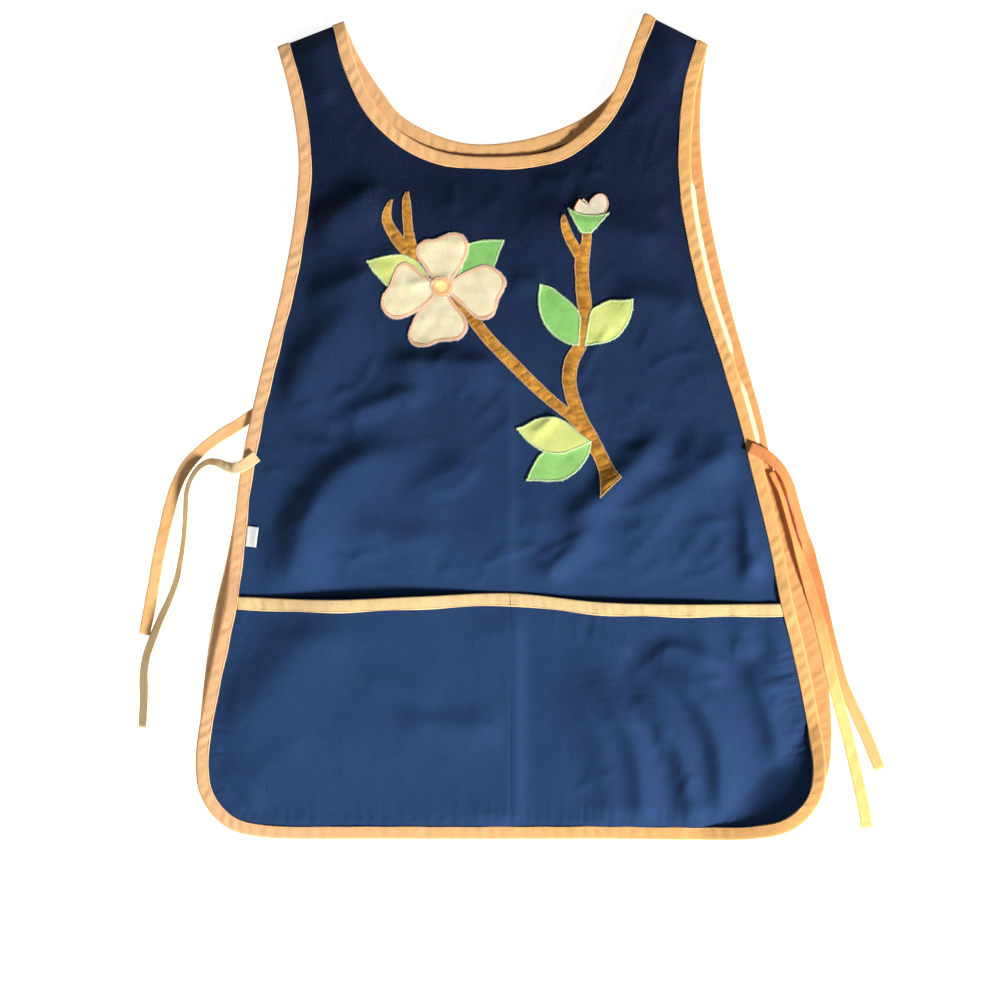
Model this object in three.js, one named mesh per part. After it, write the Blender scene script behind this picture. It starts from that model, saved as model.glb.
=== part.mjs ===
// Tabard apron lying flat with its front up: a front and a back joined over the shoulders, folded
// binding round every edge, a divided front pocket, four tape ties, a bare woven label and a
// flowering-branch applique. Millimetres, +Z up, +Y from hem to neck.
import * as THREE from "three";

const { smoothstep, lerp, degToRad } = THREE.MathUtils;
const UP = new THREE.Vector3(0, 0, 1);

// Cloth, binding and tape
const CLOTH = 1.0;
const GAP = 0.3;
const BINDING_WIDTH = 11.2;
const TIE_WIDTH = 10.5;
const HALF_CLOTH = CLOTH / 2;
const HALF_SLOT = HALF_CLOTH + GAP;
const HALF_BOUND = HALF_SLOT + CLOTH;
const INSET = CLOTH + GAP;

// Heights of the middle of each layer
const BACK_LEVEL = HALF_BOUND;
const FRONT_LOW = BACK_LEVEL + 2 * HALF_BOUND + GAP;
const FRONT_HIGH = FRONT_LOW + 4;
const RISE = { from: -15, to: 190 };
const SHOULDER_RADIUS = (FRONT_HIGH - BACK_LEVEL) / 2;
const SHOULDER_LEVEL = (FRONT_HIGH + BACK_LEVEL) / 2;
const SHOULDER_REACH = SHOULDER_RADIUS + HALF_BOUND;

// Loft of the front over the back and of the pocket over the front
const FRONT_LOFT = 3.5;
const LOFT_RUN = 70;
const EDGE_MARGIN = BINDING_WIDTH + 6;
const POCKET_SEAT = 2 * HALF_CLOTH + GAP;
const POCKET_MOUTH_SEAT = HALF_SLOT + HALF_BOUND;
const SEAT_RUN = { from: 60, to: 20 };
const POCKET_GAPE = 8;
const GAPE_RUN = 105;
const POCKET_FOLD_RUN = 40;
const POCKET_FOLD_FADE = { from: 35, to: 80 };
const CENTRE_STITCH = { x: -1.8, half: 5 };
const PATCH_CLEARANCE = 0.6;

// Cells of the cloth grids
const FRONT_CELLS = { upper: 23, lower: 9, hem: 26, shoulder: 3 };
const BACK_CELLS = { upper: 12, lower: 5, hem: 14, shoulder: 2 };
const FOLD_STEPS = 5;

// Steps that each edge curve is measured in
const CURVE_STEPS = { lengths: 800, points: 4000 };

// Fold lines over the shoulders, shared by front and back
const SHOULDERS = {
  left: { outer: { x: -213.3, y: 342 }, inner: { x: -153.5, y: 365.4 } },
  right: { outer: { x: 175.5, y: 343.8 }, inner: { x: 118, y: 372.6 } },
};

// Finished sides, a row for each section from shoulder to hem
const FRONT_SIDES = [
  { y: 307, left: -203.4, right: 164.5 },
  { y: 275, left: -197.1, right: 160.7 },
  { y: 238, left: -193.5, right: 158.9 },
  { y: 189, left: -197.1, right: 163.5 },
  { y: 124, left: -208.8, right: 177.5 },
  { y: 59, left: -225, right: 198.3 },
  { y: 5, left: -237.6, right: 214.4 },
  { y: -40, left: -246.2, right: 225.5 },
  { y: -113, left: -254.7, right: 242.9 },
  { y: -157, left: -260.1, right: 251 },
  { y: -200, left: -269.1, right: 261.8 },
  { y: -243, left: -278.1, right: 270.7 },
  { y: -281, left: -284.9, right: 277.2 },
  { y: -305, left: -286.5, right: 279.5 },
];
const BACK_SIDES = [
  { y: 307, left: -200.5, right: 169.5 },
  { y: 270, left: -193, right: 167.8 },
  { y: 232, left: -190.5, right: 170.1 },
  { y: 189, left: -194, right: 176.4 },
  { y: 124, left: -206, right: 190.8 },
  { y: 59, left: -222, right: 208.8 },
  { y: 5, left: -235, right: 224.1 },
  { y: -40, left: -244.5, right: 233.6 },
  { y: -113, left: -257.5, right: 253.2 },
  { y: -175, left: -271.5, right: 269.6 },
  { y: -235, left: -279.8, right: 283.2 },
  { y: -283, left: -283.5, right: 286.5 },
  { y: -315, left: -281, right: 282.5 },
];

// Rounded lower corners and hem, from left to right
const FRONT_HEM = [
  { x: -283.5, y: -329.5 },
  { x: -271, y: -351 },
  { x: -254, y: -364 },
  { x: -226, y: -370.4 },
  { x: -120, y: -371.8 },
  { x: 60, y: -371.8 },
  { x: 220, y: -370 },
  { x: 250, y: -361 },
  { x: 267, y: -346 },
  { x: 277, y: -327 },
];
const FRONT_CORNERS = { left: FRONT_HEM[1], right: FRONT_HEM[8] };
const BACK_HEM = [
  { x: -267, y: -346 },
  { x: -232, y: -362 },
  { x: -120, y: -365 },
  { x: 80, y: -365 },
  { x: 232, y: -362 },
  { x: 267, y: -346 },
];
const BACK_CORNERS = { left: BACK_HEM[0], right: BACK_HEM[5] };

// Finished neck edges, from right to left
const FRONT_NECK = [
  { x: 102.6, y: 333 },
  { x: 95, y: 312 },
  { x: 79.2, y: 282 },
  { x: 60, y: 263 },
  { x: 36.9, y: 249 },
  { x: -12.3, y: 242.6 },
  { x: -64.3, y: 246.8 },
  { x: -100.2, y: 263.3 },
  { x: -127.4, y: 292.5 },
  { x: -144.9, y: 333 },
];
const BACK_NECK = [
  { x: 103, y: 333 },
  { x: 94.2, y: 308 },
  { x: 78.3, y: 290 },
  { x: 55.5, y: 274 },
  { x: 5.4, y: 257.4 },
  { x: -47.7, y: 255.6 },
  { x: -99, y: 278 },
  { x: -119.2, y: 302 },
  { x: -141, y: 336 },
];

// Finished pocket mouth, from left to right
const POCKET_MOUTH = [
  { x: -249.3, y: -153.9 },
  { x: -165.6, y: -156.6 },
  { x: -85, y: -153.5 },
  { x: -1.8, y: -150.8 },
  { x: 74.7, y: -158.5 },
  { x: 140.4, y: -160.6 },
  { x: 245.7, y: -160.2 },
];
const MOUTH_LEVEL = -150;
const LOFT_START = MOUTH_LEVEL + 5;

// Ridges in the cloth: middle, direction in degrees from +X, length, width and height
const FRONT_FOLDS = [
  { x: -151, y: 191, angle: 27, length: 90, width: 44, height: 3.5 },
  { x: -176, y: 68, angle: 61, length: 130, width: 56, height: 4.5 },
  { x: -62, y: 54, angle: 0, length: 120, width: 44, height: 3.5 },
  { x: -137, y: 16, angle: 22, length: 100, width: 40, height: 3 },
  { x: -182, y: -86, angle: 68, length: 140, width: 64, height: 6.5 },
  { x: -112, y: -23, angle: 18, length: 140, width: 60, height: 6.5 },
  { x: 128, y: -22, angle: 38, length: 120, width: 56, height: 5 },
  { x: 181, y: -27, angle: 12, length: 80, width: 44, height: 3 },
  { x: 190, y: -92, angle: 84, length: 110, width: 44, height: 3.5 },
];
const POCKET_FOLDS = [
  { x: -188, y: -222, angle: 40, length: 150, width: 64, height: 5 },
  { x: -47, y: -266, angle: 2, length: 100, width: 48, height: 3 },
  { x: 50, y: -240, angle: -55, length: 140, width: 48, height: 4.5 },
  { x: 88, y: -312, angle: -80, length: 90, width: 44, height: 4 },
  { x: 127, y: -232, angle: -48, length: 120, width: 46, height: 5 },
  { x: 167, y: -296, angle: -72, length: 110, width: 44, height: 5 },
  { x: 204, y: -250, angle: -60, length: 90, width: 44, height: 4 },
];

// Heights of a tie's middle: on the ground, at a bound edge, over the front binding, on its edge
const LYING = GAP + HALF_CLOTH;
const AT_BACK = BACK_LEVEL;
const OVER = FRONT_LOW + HALF_BOUND + GAP + HALF_CLOTH;
const STANDING = 5.6;

// Tie routes from the sewn end: place, height and twist about the route in degrees
const TIES = {
  tie_front_left: [
    { x: -231.5, y: -33, z: OVER, twist: 0 },
    { x: -241.5, y: -36.5, z: OVER, twist: 0 },
    { x: -250, y: -38, z: 8.8, twist: 14 },
    { x: -258.5, y: -36.5, z: 7, twist: 45 },
    { x: -267.5, y: -33, z: STANDING, twist: 66 },
    { x: -276.5, y: -32.5, z: STANDING, twist: 66 },
    { x: -285, y: -38.5, z: STANDING, twist: 66 },
    { x: -291.5, y: -48.6, z: STANDING, twist: 68 },
    { x: -295, y: -60, z: STANDING, twist: 70 },
    { x: -296, y: -80, z: STANDING, twist: 70 },
    { x: -298, y: -105, z: STANDING, twist: 68 },
    { x: -300.6, y: -121.5, z: STANDING, twist: 64 },
    { x: -304, y: -138.6, z: STANDING, twist: 62 },
    { x: -311, y: -157.5, z: STANDING, twist: 62 },
    { x: -318.5, y: -173.7, z: STANDING, twist: 62 },
    { x: -325, y: -189.9, z: STANDING, twist: 60 },
    { x: -331, y: -207, z: STANDING, twist: 58 },
    { x: -333.5, y: -222, z: STANDING, twist: 58 },
    { x: -333.5, y: -245, z: STANDING, twist: 58 },
    { x: -334.8, y: -271.8, z: STANDING, twist: 58 },
  ],
  tie_back_left: [
    { x: -239, y: 8, z: AT_BACK, twist: 0 },
    { x: -249, y: 1, z: 1.3, twist: 0 },
    { x: -262.8, y: -7.2, z: LYING, twist: 0 },
    { x: -280.8, y: -20.7, z: LYING, twist: 0 },
    { x: -295.2, y: -36, z: LYING, twist: 0 },
    { x: -305.1, y: -54.9, z: LYING, twist: 0 },
    { x: -310.5, y: -72.9, z: LYING, twist: 0 },
    { x: -315, y: -91.8, z: LYING, twist: 0 },
    { x: -320.4, y: -116.1, z: LYING, twist: 0 },
    { x: -325.4, y: -144.9, z: LYING, twist: 0 },
    { x: -331.2, y: -176.4, z: LYING, twist: 0 },
    { x: -333.5, y: -188.1, z: LYING, twist: 0 },
  ],
  tie_front_right: [
    { x: 211.5, y: -19, z: OVER, twist: 0 },
    { x: 223, y: -24.3, z: OVER, twist: 0 },
    { x: 234, y: -32, z: 7.8, twist: -15 },
    { x: 243, y: -43.5, z: 6.4, twist: -45 },
    { x: 249, y: -58.5, z: STANDING, twist: -75 },
    { x: 254.5, y: -77.4, z: STANDING, twist: -75 },
    { x: 261, y: -97.2, z: STANDING, twist: -75 },
    { x: 269.5, y: -124.2, z: 5.2, twist: -60 },
    { x: 277.5, y: -149.4, z: 4.2, twist: -42 },
    { x: 288, y: -183.6, z: 2.4, twist: -18 },
    { x: 296, y: -207.9, z: LYING, twist: 0 },
    { x: 304.5, y: -232.2, z: LYING, twist: 0 },
    { x: 313.5, y: -259.2, z: LYING, twist: 0 },
    { x: 321.2, y: -280.8, z: LYING, twist: 0 },
    { x: 329.4, y: -306.9, z: LYING, twist: 0 },
  ],
  tie_back_right: [
    { x: 235.7, y: -46, z: STANDING, twist: -75 },
    { x: 243, y: -60, z: STANDING, twist: -75 },
    { x: 248, y: -77, z: STANDING, twist: -75 },
    { x: 253.5, y: -97, z: STANDING, twist: -75 },
    { x: 260.5, y: -124, z: STANDING, twist: -75 },
    { x: 267.5, y: -151, z: 5.4, twist: -70 },
    { x: 274.8, y: -177, z: 4.8, twist: -55 },
    { x: 282, y: -203, z: 3.8, twist: -38 },
    { x: 290, y: -232, z: 2.4, twist: -18 },
    { x: 295.8, y: -254, z: LYING, twist: 0 },
    { x: 303, y: -287, z: LYING, twist: 0 },
    { x: 310, y: -317, z: LYING, twist: 0 },
    { x: 316.5, y: -348, z: LYING, twist: 0 },
    { x: 318.6, y: -362.7, z: LYING, twist: 0 },
  ],
};
const TIE_STEPS_PER_ROW = 2;

// Label tab, from the binding's inner edge to its free end
const LABEL = [
  { x: -240.6, y: -99, half: 9 },
  { x: -236, y: -99.5, half: 9 },
  { x: -231.4, y: -100, half: 9 },
];

// Blossom: petals in polar form round the centre, in degrees and millimetres
const BLOSSOM = { x: -64.8, y: 125.1, centre: 10, petal: 11.2 };
const PETALS = [
  { name: "petal_top", angle: 94, spread: 32, reach: 46 },
  { name: "petal_right", angle: -4, spread: 31, reach: 54 },
  { name: "petal_bottom", angle: -97, spread: 37, reach: 54 },
  { name: "petal_left", angle: 188, spread: 33, reach: 52 },
];
const CENTRE_SIDES = 18;
const PETAL_NOTCH = { depth: 0.12, narrowness: 2.2 };
const PETAL_ROUNDING = 0.2;
const PETAL_CELLS = { turn: 8, reach: 3 };

// Leaves: base, direction, length, half width, and how far from the base the leaf is widest
const LEAVES = [
  { name: "leaf_blossom_left", x: -113.4, y: 142.7, angle: 163, length: 19, half: 13, widest: 0.05 },
  { name: "leaf_blossom_right", x: -39.6, y: 149.4, angle: 36, length: 35, half: 11, widest: 0.3 },
  { name: "leaf_middle_left", x: 50.5, y: 79.5, angle: 120, length: 55, half: 13, widest: 0.5 },
  { name: "leaf_middle_right", x: 67, y: 77, angle: 44, length: 54, half: 14, widest: 0.45 },
  { name: "leaf_low_left", x: 55, y: -11.5, angle: 169, length: 53, half: 14, widest: 0.5 },
  { name: "leaf_low_under", x: 62.5, y: -27.5, angle: 203, length: 55, half: 11.5, widest: 0.45 },
];
const LEAF_STEPS = 7;
const LEAF_TIP = 0.5;
const LEAF_FULLNESS = 1.7;

// Branch pieces, bud and calyx: a row for each section, with its half width
const STEMS = {
  long_branch: [
    { x: -39.6, y: 99, half: 5.2 },
    { x: -21.6, y: 77, half: 5.4 },
    { x: -1.8, y: 56.7, half: 5.4 },
    { x: 17.1, y: 37.8, half: 5 },
    { x: 32, y: 24.5, half: 4 },
    { x: 43, y: 15.5, half: 2.4 },
  ],
  upright_branch: [
    { x: 65.5, y: 172, half: 4 },
    { x: 63, y: 152, half: 4 },
    { x: 62.1, y: 133, half: 4.5 },
    { x: 63, y: 113.4, half: 5 },
    { x: 62.1, y: 93.6, half: 5 },
    { x: 58.5, y: 74.7, half: 5.4 },
    { x: 51.3, y: 58.5, half: 5.4 },
    { x: 49.8, y: 39.6, half: 5.8 },
    { x: 54, y: 19.8, half: 5.8 },
    { x: 62.5, y: 0, half: 5.8 },
    { x: 74, y: -17, half: 6.3 },
    { x: 83, y: -36, half: 6.7 },
    { x: 87, y: -55, half: 8 },
  ],
  side_twig: [
    { x: 44, y: 189, half: 1.8 },
    { x: 44.2, y: 176, half: 3.4 },
    { x: 49.5, y: 164, half: 3.6 },
    { x: 54.5, y: 157.5, half: 2.4 },
  ],
  fork_prong_left: [
    { x: -109.8, y: 202.5, half: 1.8 },
    { x: -117, y: 193, half: 3.6 },
    { x: -117.9, y: 180, half: 4.5 },
    { x: -111.5, y: 168, half: 4.5 },
    { x: -105, y: 161, half: 3.8 },
  ],
  fork_prong_right: [
    { x: -95.4, y: 209.7, half: 1.8 },
    { x: -95.9, y: 196, half: 4 },
    { x: -96.3, y: 182, half: 4 },
    { x: -95.6, y: 168, half: 3.8 },
  ],
  bud: [
    { x: 66.4, y: 191, half: 8 },
    { x: 67.5, y: 198, half: 15 },
    { x: 69.3, y: 206, half: 14 },
    { x: 70.2, y: 211, half: 6 },
  ],
  calyx: [
    { x: 65.6, y: 173.6, half: 3.4 },
    { x: 65.8, y: 181, half: 8 },
    { x: 66.3, y: 189.5, half: 15.5 },
  ],
};

// Cloth colours
const NAVY = 0x213659;
const NAVY_POCKET = 0x284672;
const PEACH = 0xf8be85;
const WHITE = 0xf2f0ea;
const PETAL_CREAM = 0xf5ebc0;
const LEAF_GREEN = 0x9cd577;
const LEAF_LIGHT = 0xeaee90;
const STEM_BROWN = 0xd09849;
const PATCH_COLOURS = {
  leaf_blossom_left: LEAF_LIGHT,
  leaf_blossom_right: LEAF_GREEN,
  leaf_middle_left: LEAF_GREEN,
  leaf_middle_right: LEAF_LIGHT,
  leaf_low_left: LEAF_LIGHT,
  leaf_low_under: LEAF_GREEN,
  bud: PETAL_CREAM,
  calyx: LEAF_GREEN,
};

// Edges and their stations

const flat = ({ x, y }) => new THREE.Vector3(x, y, 0);

function smoothCurve(knots) {
  const curve = new THREE.CatmullRomCurve3(knots.map(flat), false, "centripetal");
  curve.arcLengthDivisions = CURVE_STEPS.lengths;
  return curve;
}

// Points along a curve, split at the break points into spans with a set number of steps each
function spacedPoints(knots, breaks, counts) {
  const fine = smoothCurve(knots).getSpacedPoints(CURVE_STEPS.points);
  const nearest = (spot) => {
    const gaps = fine.map((point) => point.distanceTo(flat(spot)));
    return gaps.indexOf(Math.min(...gaps));
  };
  const stops = [0, ...breaks.map(nearest), fine.length - 1];
  const points = [fine[0]];
  counts.forEach((count, span) => {
    for (let k = 1; k <= count; k++) {
      points.push(fine[Math.round(lerp(stops[span], stops[span + 1], k / count))]);
    }
  });
  return points;
}

// Stations on a counter-clockwise edge: the cloth lies on the left of the way along it
function edgeStations(points, firstInward, lastInward) {
  return points.map((point, k) => {
    const before = points[Math.max(k - 1, 0)];
    const after = points[Math.min(k + 1, points.length - 1)];
    const inward = new THREE.Vector3(before.y - after.y, after.x - before.x, 0).normalize();
    if (k === 0) inward.copy(firstInward);
    if (k === points.length - 1) inward.copy(lastInward);
    return { point, inward };
  });
}

const cutEdge = ({ point, inward }) => point.clone().addScaledVector(inward, INSET);

// The line where a strap starts to turn over the shoulder, drawn back so that the roll ends on the fold
function shoulderLine({ outer, inner }) {
  const axis = flat(inner).sub(flat(outer)).normalize();
  const forward = new THREE.Vector3(-axis.y, axis.x, 0);
  if (forward.y < 0) forward.negate();
  return {
    axis,
    forward,
    outer: flat(outer).addScaledVector(forward, -SHOULDER_REACH),
    inner: flat(inner).addScaledVector(forward, -SHOULDER_REACH),
  };
}

const shoulderLeft = shoulderLine(SHOULDERS.left);
const shoulderRight = shoulderLine(SHOULDERS.right);

// Outer and neck edges of a panel, drawn back from the shoulder line by a seam gap
function panelOutline(sides, hem, corners, neck, cells, mouth, seam) {
  const tip = (shoulder, end) => shoulder[end].clone().addScaledVector(shoulder.forward, -seam);
  const leftSide = sides.map(({ y, left }) => ({ x: left, y }));
  const rightSide = sides.map(({ y, right }) => ({ x: right, y })).reverse();
  const outerKnots = [
    tip(shoulderLeft, "outer"),
    ...leftSide,
    ...hem,
    ...rightSide,
    tip(shoulderRight, "outer"),
  ];
  const outerPoints = spacedPoints(
    outerKnots,
    [mouth.left, corners.left, corners.right, mouth.right],
    [cells.upper, cells.lower, cells.hem, cells.lower, cells.upper],
  );
  const neckKnots = [tip(shoulderRight, "inner"), ...neck, tip(shoulderLeft, "inner")];
  const neckSteps = cells.hem - 2 * cells.shoulder;
  const neckPoints = spacedPoints(neckKnots, [], [neckSteps]);
  return {
    cells,
    outer: edgeStations(outerPoints, shoulderLeft.axis, shoulderRight.axis),
    neck: edgeStations(
      neckPoints,
      shoulderRight.axis.clone().negate(),
      shoulderLeft.axis.clone().negate(),
    ),
  };
}

const mouthEnds = { left: POCKET_MOUTH[0], right: POCKET_MOUTH[POCKET_MOUTH.length - 1] };
const front = panelOutline(
  FRONT_SIDES, FRONT_HEM, FRONT_CORNERS, FRONT_NECK, FRONT_CELLS, mouthEnds, 0,
);
const back = panelOutline(
  BACK_SIDES, BACK_HEM, BACK_CORNERS, BACK_NECK, BACK_CELLS, mouthEnds, GAP,
);

// Heights of the cloth

const frontEdges = [front.outer, front.neck];

// Distance in plan from a place to the nearest bound edge of the front
function edgeDistance(x, y) {
  const spot = new THREE.Vector3(x, y, 0);
  const segment = new THREE.Line3();
  const nearest = new THREE.Vector3();
  let least = Infinity;
  for (const edge of frontEdges) {
    for (let k = 1; k < edge.length; k++) {
      segment.set(edge[k - 1].point, edge[k].point).closestPointToPoint(spot, true, nearest);
      least = Math.min(least, nearest.distanceTo(spot));
    }
  }
  return least;
}

const bump = (t) => (Math.abs(t) < 1 ? Math.cos((t * Math.PI) / 2) ** 2 : 0);

function foldHeight(folds, x, y) {
  let height = 0;
  for (const fold of folds) {
    const turn = degToRad(fold.angle);
    const along = (x - fold.x) * Math.cos(turn) + (y - fold.y) * Math.sin(turn);
    const across = (y - fold.y) * Math.cos(turn) - (x - fold.x) * Math.sin(turn);
    height += fold.height * bump((2 * along) / fold.length) * bump((2 * across) / fold.width);
  }
  return height;
}

// Folds and loft die out before the bound edges, so that the bindings lie flat
const freeOfEdge = (x, y, run) => smoothstep(edgeDistance(x, y), EDGE_MARGIN, EDGE_MARGIN + run);

const frontEdgeLevel = (y) => lerp(FRONT_LOW, FRONT_HIGH, smoothstep(y, RISE.from, RISE.to));

function frontLevel(x, y) {
  const aboveMouth = smoothstep(y, LOFT_START, LOFT_START + LOFT_RUN);
  const loft = FRONT_LOFT + foldHeight(FRONT_FOLDS, x, y);
  return frontEdgeLevel(y) + aboveMouth * freeOfEdge(x, y, LOFT_RUN) * loft;
}

// Height of the pocket over the front where a binding or the centre stitch holds it down
function pocketSeat(y) {
  const rise = smoothstep(y, MOUTH_LEVEL - SEAT_RUN.from, MOUTH_LEVEL - SEAT_RUN.to);
  return lerp(POCKET_SEAT, POCKET_MOUTH_SEAT, rise);
}

function pocketLevel(x, y) {
  const besideStitch = smoothstep(Math.abs(x - CENTRE_STITCH.x), CENTRE_STITCH.half, GAPE_RUN);
  const gape = POCKET_GAPE * besideStitch * freeOfEdge(x, y, GAPE_RUN);
  const belowMouth = smoothstep(MOUTH_LEVEL - y, POCKET_FOLD_FADE.from, POCKET_FOLD_FADE.to);
  const folds = foldHeight(POCKET_FOLDS, x, y) * freeOfEdge(x, y, POCKET_FOLD_RUN) * belowMouth;
  return FRONT_LOW + pocketSeat(y) + gape + folds;
}

// Solids

function toGeometry(positions, index) {
  const geometry = new THREE.BufferGeometry();
  geometry.setAttribute("position", new THREE.Float32BufferAttribute(positions, 3));
  geometry.setIndex(index);
  geometry.computeVertexNormals();
  return geometry;
}

// A closed sheet one cloth thick about its middle spots, from cells turning anticlockwise
function sheetGeometry(spots, cells) {
  const positions = [];
  for (const side of [HALF_CLOTH, -HALF_CLOTH]) {
    for (const { middle, normal } of spots) {
      positions.push(...middle.clone().addScaledVector(normal, side).toArray());
    }
  }
  const under = spots.length;
  const index = [];
  const sides = new Map();
  for (const [a, b, c, d] of cells) {
    index.push(a, b, c, a, c, d);
    index.push(a + under, c + under, b + under, a + under, d + under, c + under);
    for (const [from, to] of [[a, b], [b, c], [c, d], [d, a]]) {
      sides.set(`${from} ${to}`, [from, to]);
    }
  }
  for (const [from, to] of sides.values()) {
    if (sides.has(`${to} ${from}`)) continue;
    index.push(from, from + under, to + under, from, to + under, to);
  }
  return toGeometry(positions, index);
}

// A grid of places in plan, laid at a height
function gridSheet(rows, level) {
  const across = rows[0].length;
  const spots = rows.flat().map(({ x, y }) => ({
    middle: new THREE.Vector3(x, y, level(x, y)),
    normal: UP,
  }));
  const cells = [];
  for (let j = 0; j + 1 < rows.length; j++) {
    for (let i = 0; i + 1 < across; i++) {
      const a = j * across + i;
      cells.push([a, a + 1, a + across + 1, a + across]);
    }
  }
  return { spots, cells };
}

// Places between four edges, blended from opposite pairs
function blendEdges(bottom, right, top, left) {
  const across = bottom.length - 1;
  const up = left.length - 1;
  return left.map((_, j) =>
    bottom.map((_, i) => {
      const lengthwise = bottom[i].clone().lerp(top[i], j / up);
      const crosswise = left[j].clone().lerp(right[j], i / across);
      const low = bottom[0].clone().lerp(bottom[across], i / across);
      const high = top[0].clone().lerp(top[across], i / across);
      return lengthwise.add(crosswise).sub(low.lerp(high, j / up));
    }),
  );
}

// A closed solid from a section carried along stations: origin, inward and normal of each
function sweepGeometry(stations, sectionAt) {
  const positions = [];
  const index = [];
  const sections = stations.map(sectionAt);
  const sides = sections[0].length;
  stations.forEach(({ origin, inward, normal }, k) => {
    for (const { x, y } of sections[k]) {
      const spot = origin.clone().addScaledVector(inward, x).addScaledVector(normal, y);
      positions.push(...spot.toArray());
    }
  });
  for (let k = 0; k + 1 < stations.length; k++) {
    for (let s = 0; s < sides; s++) {
      const a = k * sides + s;
      const b = k * sides + ((s + 1) % sides);
      index.push(a, b, b + sides, a, b + sides, a + sides);
    }
  }
  const last = (stations.length - 1) * sides;
  for (const [a, b, c] of THREE.ShapeUtils.triangulateShape(sections[0], [])) index.push(a, c, b);
  for (const [a, b, c] of THREE.ShapeUtils.triangulateShape(sections.at(-1), [])) {
    index.push(last + a, last + b, last + c);
  }
  return toGeometry(positions, index);
}

// Folded binding round a slot: the upper leg rises where more than one layer is held
function bindingSection(upperSlot) {
  const corners = [
    [0, -HALF_BOUND],
    [BINDING_WIDTH, -HALF_BOUND],
    [BINDING_WIDTH, -HALF_SLOT],
    [CLOTH, -HALF_SLOT],
    [CLOTH, upperSlot],
    [BINDING_WIDTH, upperSlot],
    [BINDING_WIDTH, upperSlot + CLOTH],
    [0, upperSlot + CLOTH],
  ];
  return corners.map(([x, y]) => new THREE.Vector2(x, y));
}

// Panels

function panelRows({ cells, outer, neck }) {
  const side = cells.upper + cells.lower;
  const cut = outer.map(cutEdge);
  const neckCut = neck.map(cutEdge).reverse();
  const left = cut.slice(0, side + 1).reverse();
  const bottom = cut.slice(side, side + cells.hem + 1);
  const right = cut.slice(side + cells.hem);
  const strap = (from, to) =>
    Array.from({ length: cells.shoulder }, (_, k) => from.clone().lerp(to, k / cells.shoulder));
  const top = [
    ...strap(left.at(-1), neckCut[0]),
    ...neckCut,
    ...strap(right.at(-1), neckCut.at(-1)).reverse(),
  ];
  return blendEdges(bottom, right, top, left);
}

// Middle and normal at a step of the turn over a shoulder, from a place on the fold line
function shoulderTurn(place, forward, step) {
  const angle = (Math.PI * step) / FOLD_STEPS;
  const normal = forward.clone().multiplyScalar(Math.sin(angle)).addScaledVector(UP, Math.cos(angle));
  const middle = new THREE.Vector3(place.x, place.y, SHOULDER_LEVEL);
  return { middle: middle.addScaledVector(normal, SHOULDER_RADIUS), normal };
}

// Straps carry on over the shoulder from the top row of the front
function addShoulderTurn({ spots, cells }, firstColumn, columns, topStart, forward) {
  let lower = Array.from({ length: columns + 1 }, (_, i) => topStart + firstColumn + i);
  const places = lower.map((k) => spots[k].middle);
  for (let step = 1; step <= FOLD_STEPS; step++) {
    const upper = places.map((place) => spots.push(shoulderTurn(place, forward, step)) - 1);
    for (let i = 0; i < columns; i++) cells.push([lower[i], lower[i + 1], upper[i + 1], upper[i]]);
    lower = upper;
  }
}

function frontPanel() {
  const rows = panelRows(front);
  const sheet = gridSheet(rows, frontLevel);
  const topStart = (rows.length - 1) * rows[0].length;
  const { hem, shoulder } = FRONT_CELLS;
  addShoulderTurn(sheet, 0, shoulder, topStart, shoulderLeft.forward);
  addShoulderTurn(sheet, hem - shoulder, shoulder, topStart, shoulderRight.forward);
  return sheetGeometry(sheet.spots, sheet.cells);
}

function backPanel() {
  const sheet = gridSheet(panelRows(back), () => BACK_LEVEL);
  return sheetGeometry(sheet.spots, sheet.cells);
}

// Pocket: its sides and hem follow the front's own cut edge

const mouthRun = smoothCurve(POCKET_MOUTH);
const mouthStart = (BINDING_WIDTH + 2 * GAP) / mouthRun.getLength();
const mouthPoints = Array.from({ length: FRONT_CELLS.hem - 1 }, (_, k) =>
  mouthRun.getPointAt(lerp(mouthStart, 1 - mouthStart, k / (FRONT_CELLS.hem - 2))),
);

function pocketRows() {
  const { upper, lower, hem } = FRONT_CELLS;
  const cut = front.outer.map(cutEdge);
  const left = cut.slice(upper, upper + lower + 1).reverse();
  const bottom = cut.slice(upper + lower, upper + lower + hem + 1);
  const right = cut.slice(upper + lower + hem, upper + 2 * lower + hem + 1);
  const lowered = mouthPoints.map(({ x, y }) => new THREE.Vector3(x, y - INSET, 0));
  return blendEdges(bottom, right, [left.at(-1), ...lowered, right.at(-1)], left);
}

function pocketPanel() {
  const sheet = gridSheet(pocketRows(), pocketLevel);
  return sheetGeometry(sheet.spots, sheet.cells);
}

// The mouth binding slopes with the row of cloth below it
function pocketBinding() {
  const rows = pocketRows();
  const below = rows.at(-2);
  const lift = ({ x, y }) => new THREE.Vector3(x, y, pocketLevel(x, y));
  const stations = mouthPoints.map((point, k) => {
    const edge = lift(rows.at(-1)[k + 1]);
    const inward = lift(below[k + 1]).sub(edge);
    inward.setX(0).normalize();
    return { origin: edge.addScaledVector(inward, -INSET), inward, normal: UP };
  });
  return sweepGeometry(stations.reverse(), () => bindingSection(HALF_SLOT));
}

// Bindings

const turnStations = (place, inward, forward, steps) =>
  steps.map((step) => {
    const { middle, normal } = shoulderTurn(place, forward, step);
    return { origin: middle, inward, normal };
  });

function levelStations(edge, level) {
  return edge.map(({ point, inward }) => ({
    origin: new THREE.Vector3(point.x, point.y, level(point.y)),
    inward,
    normal: UP,
  }));
}

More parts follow.
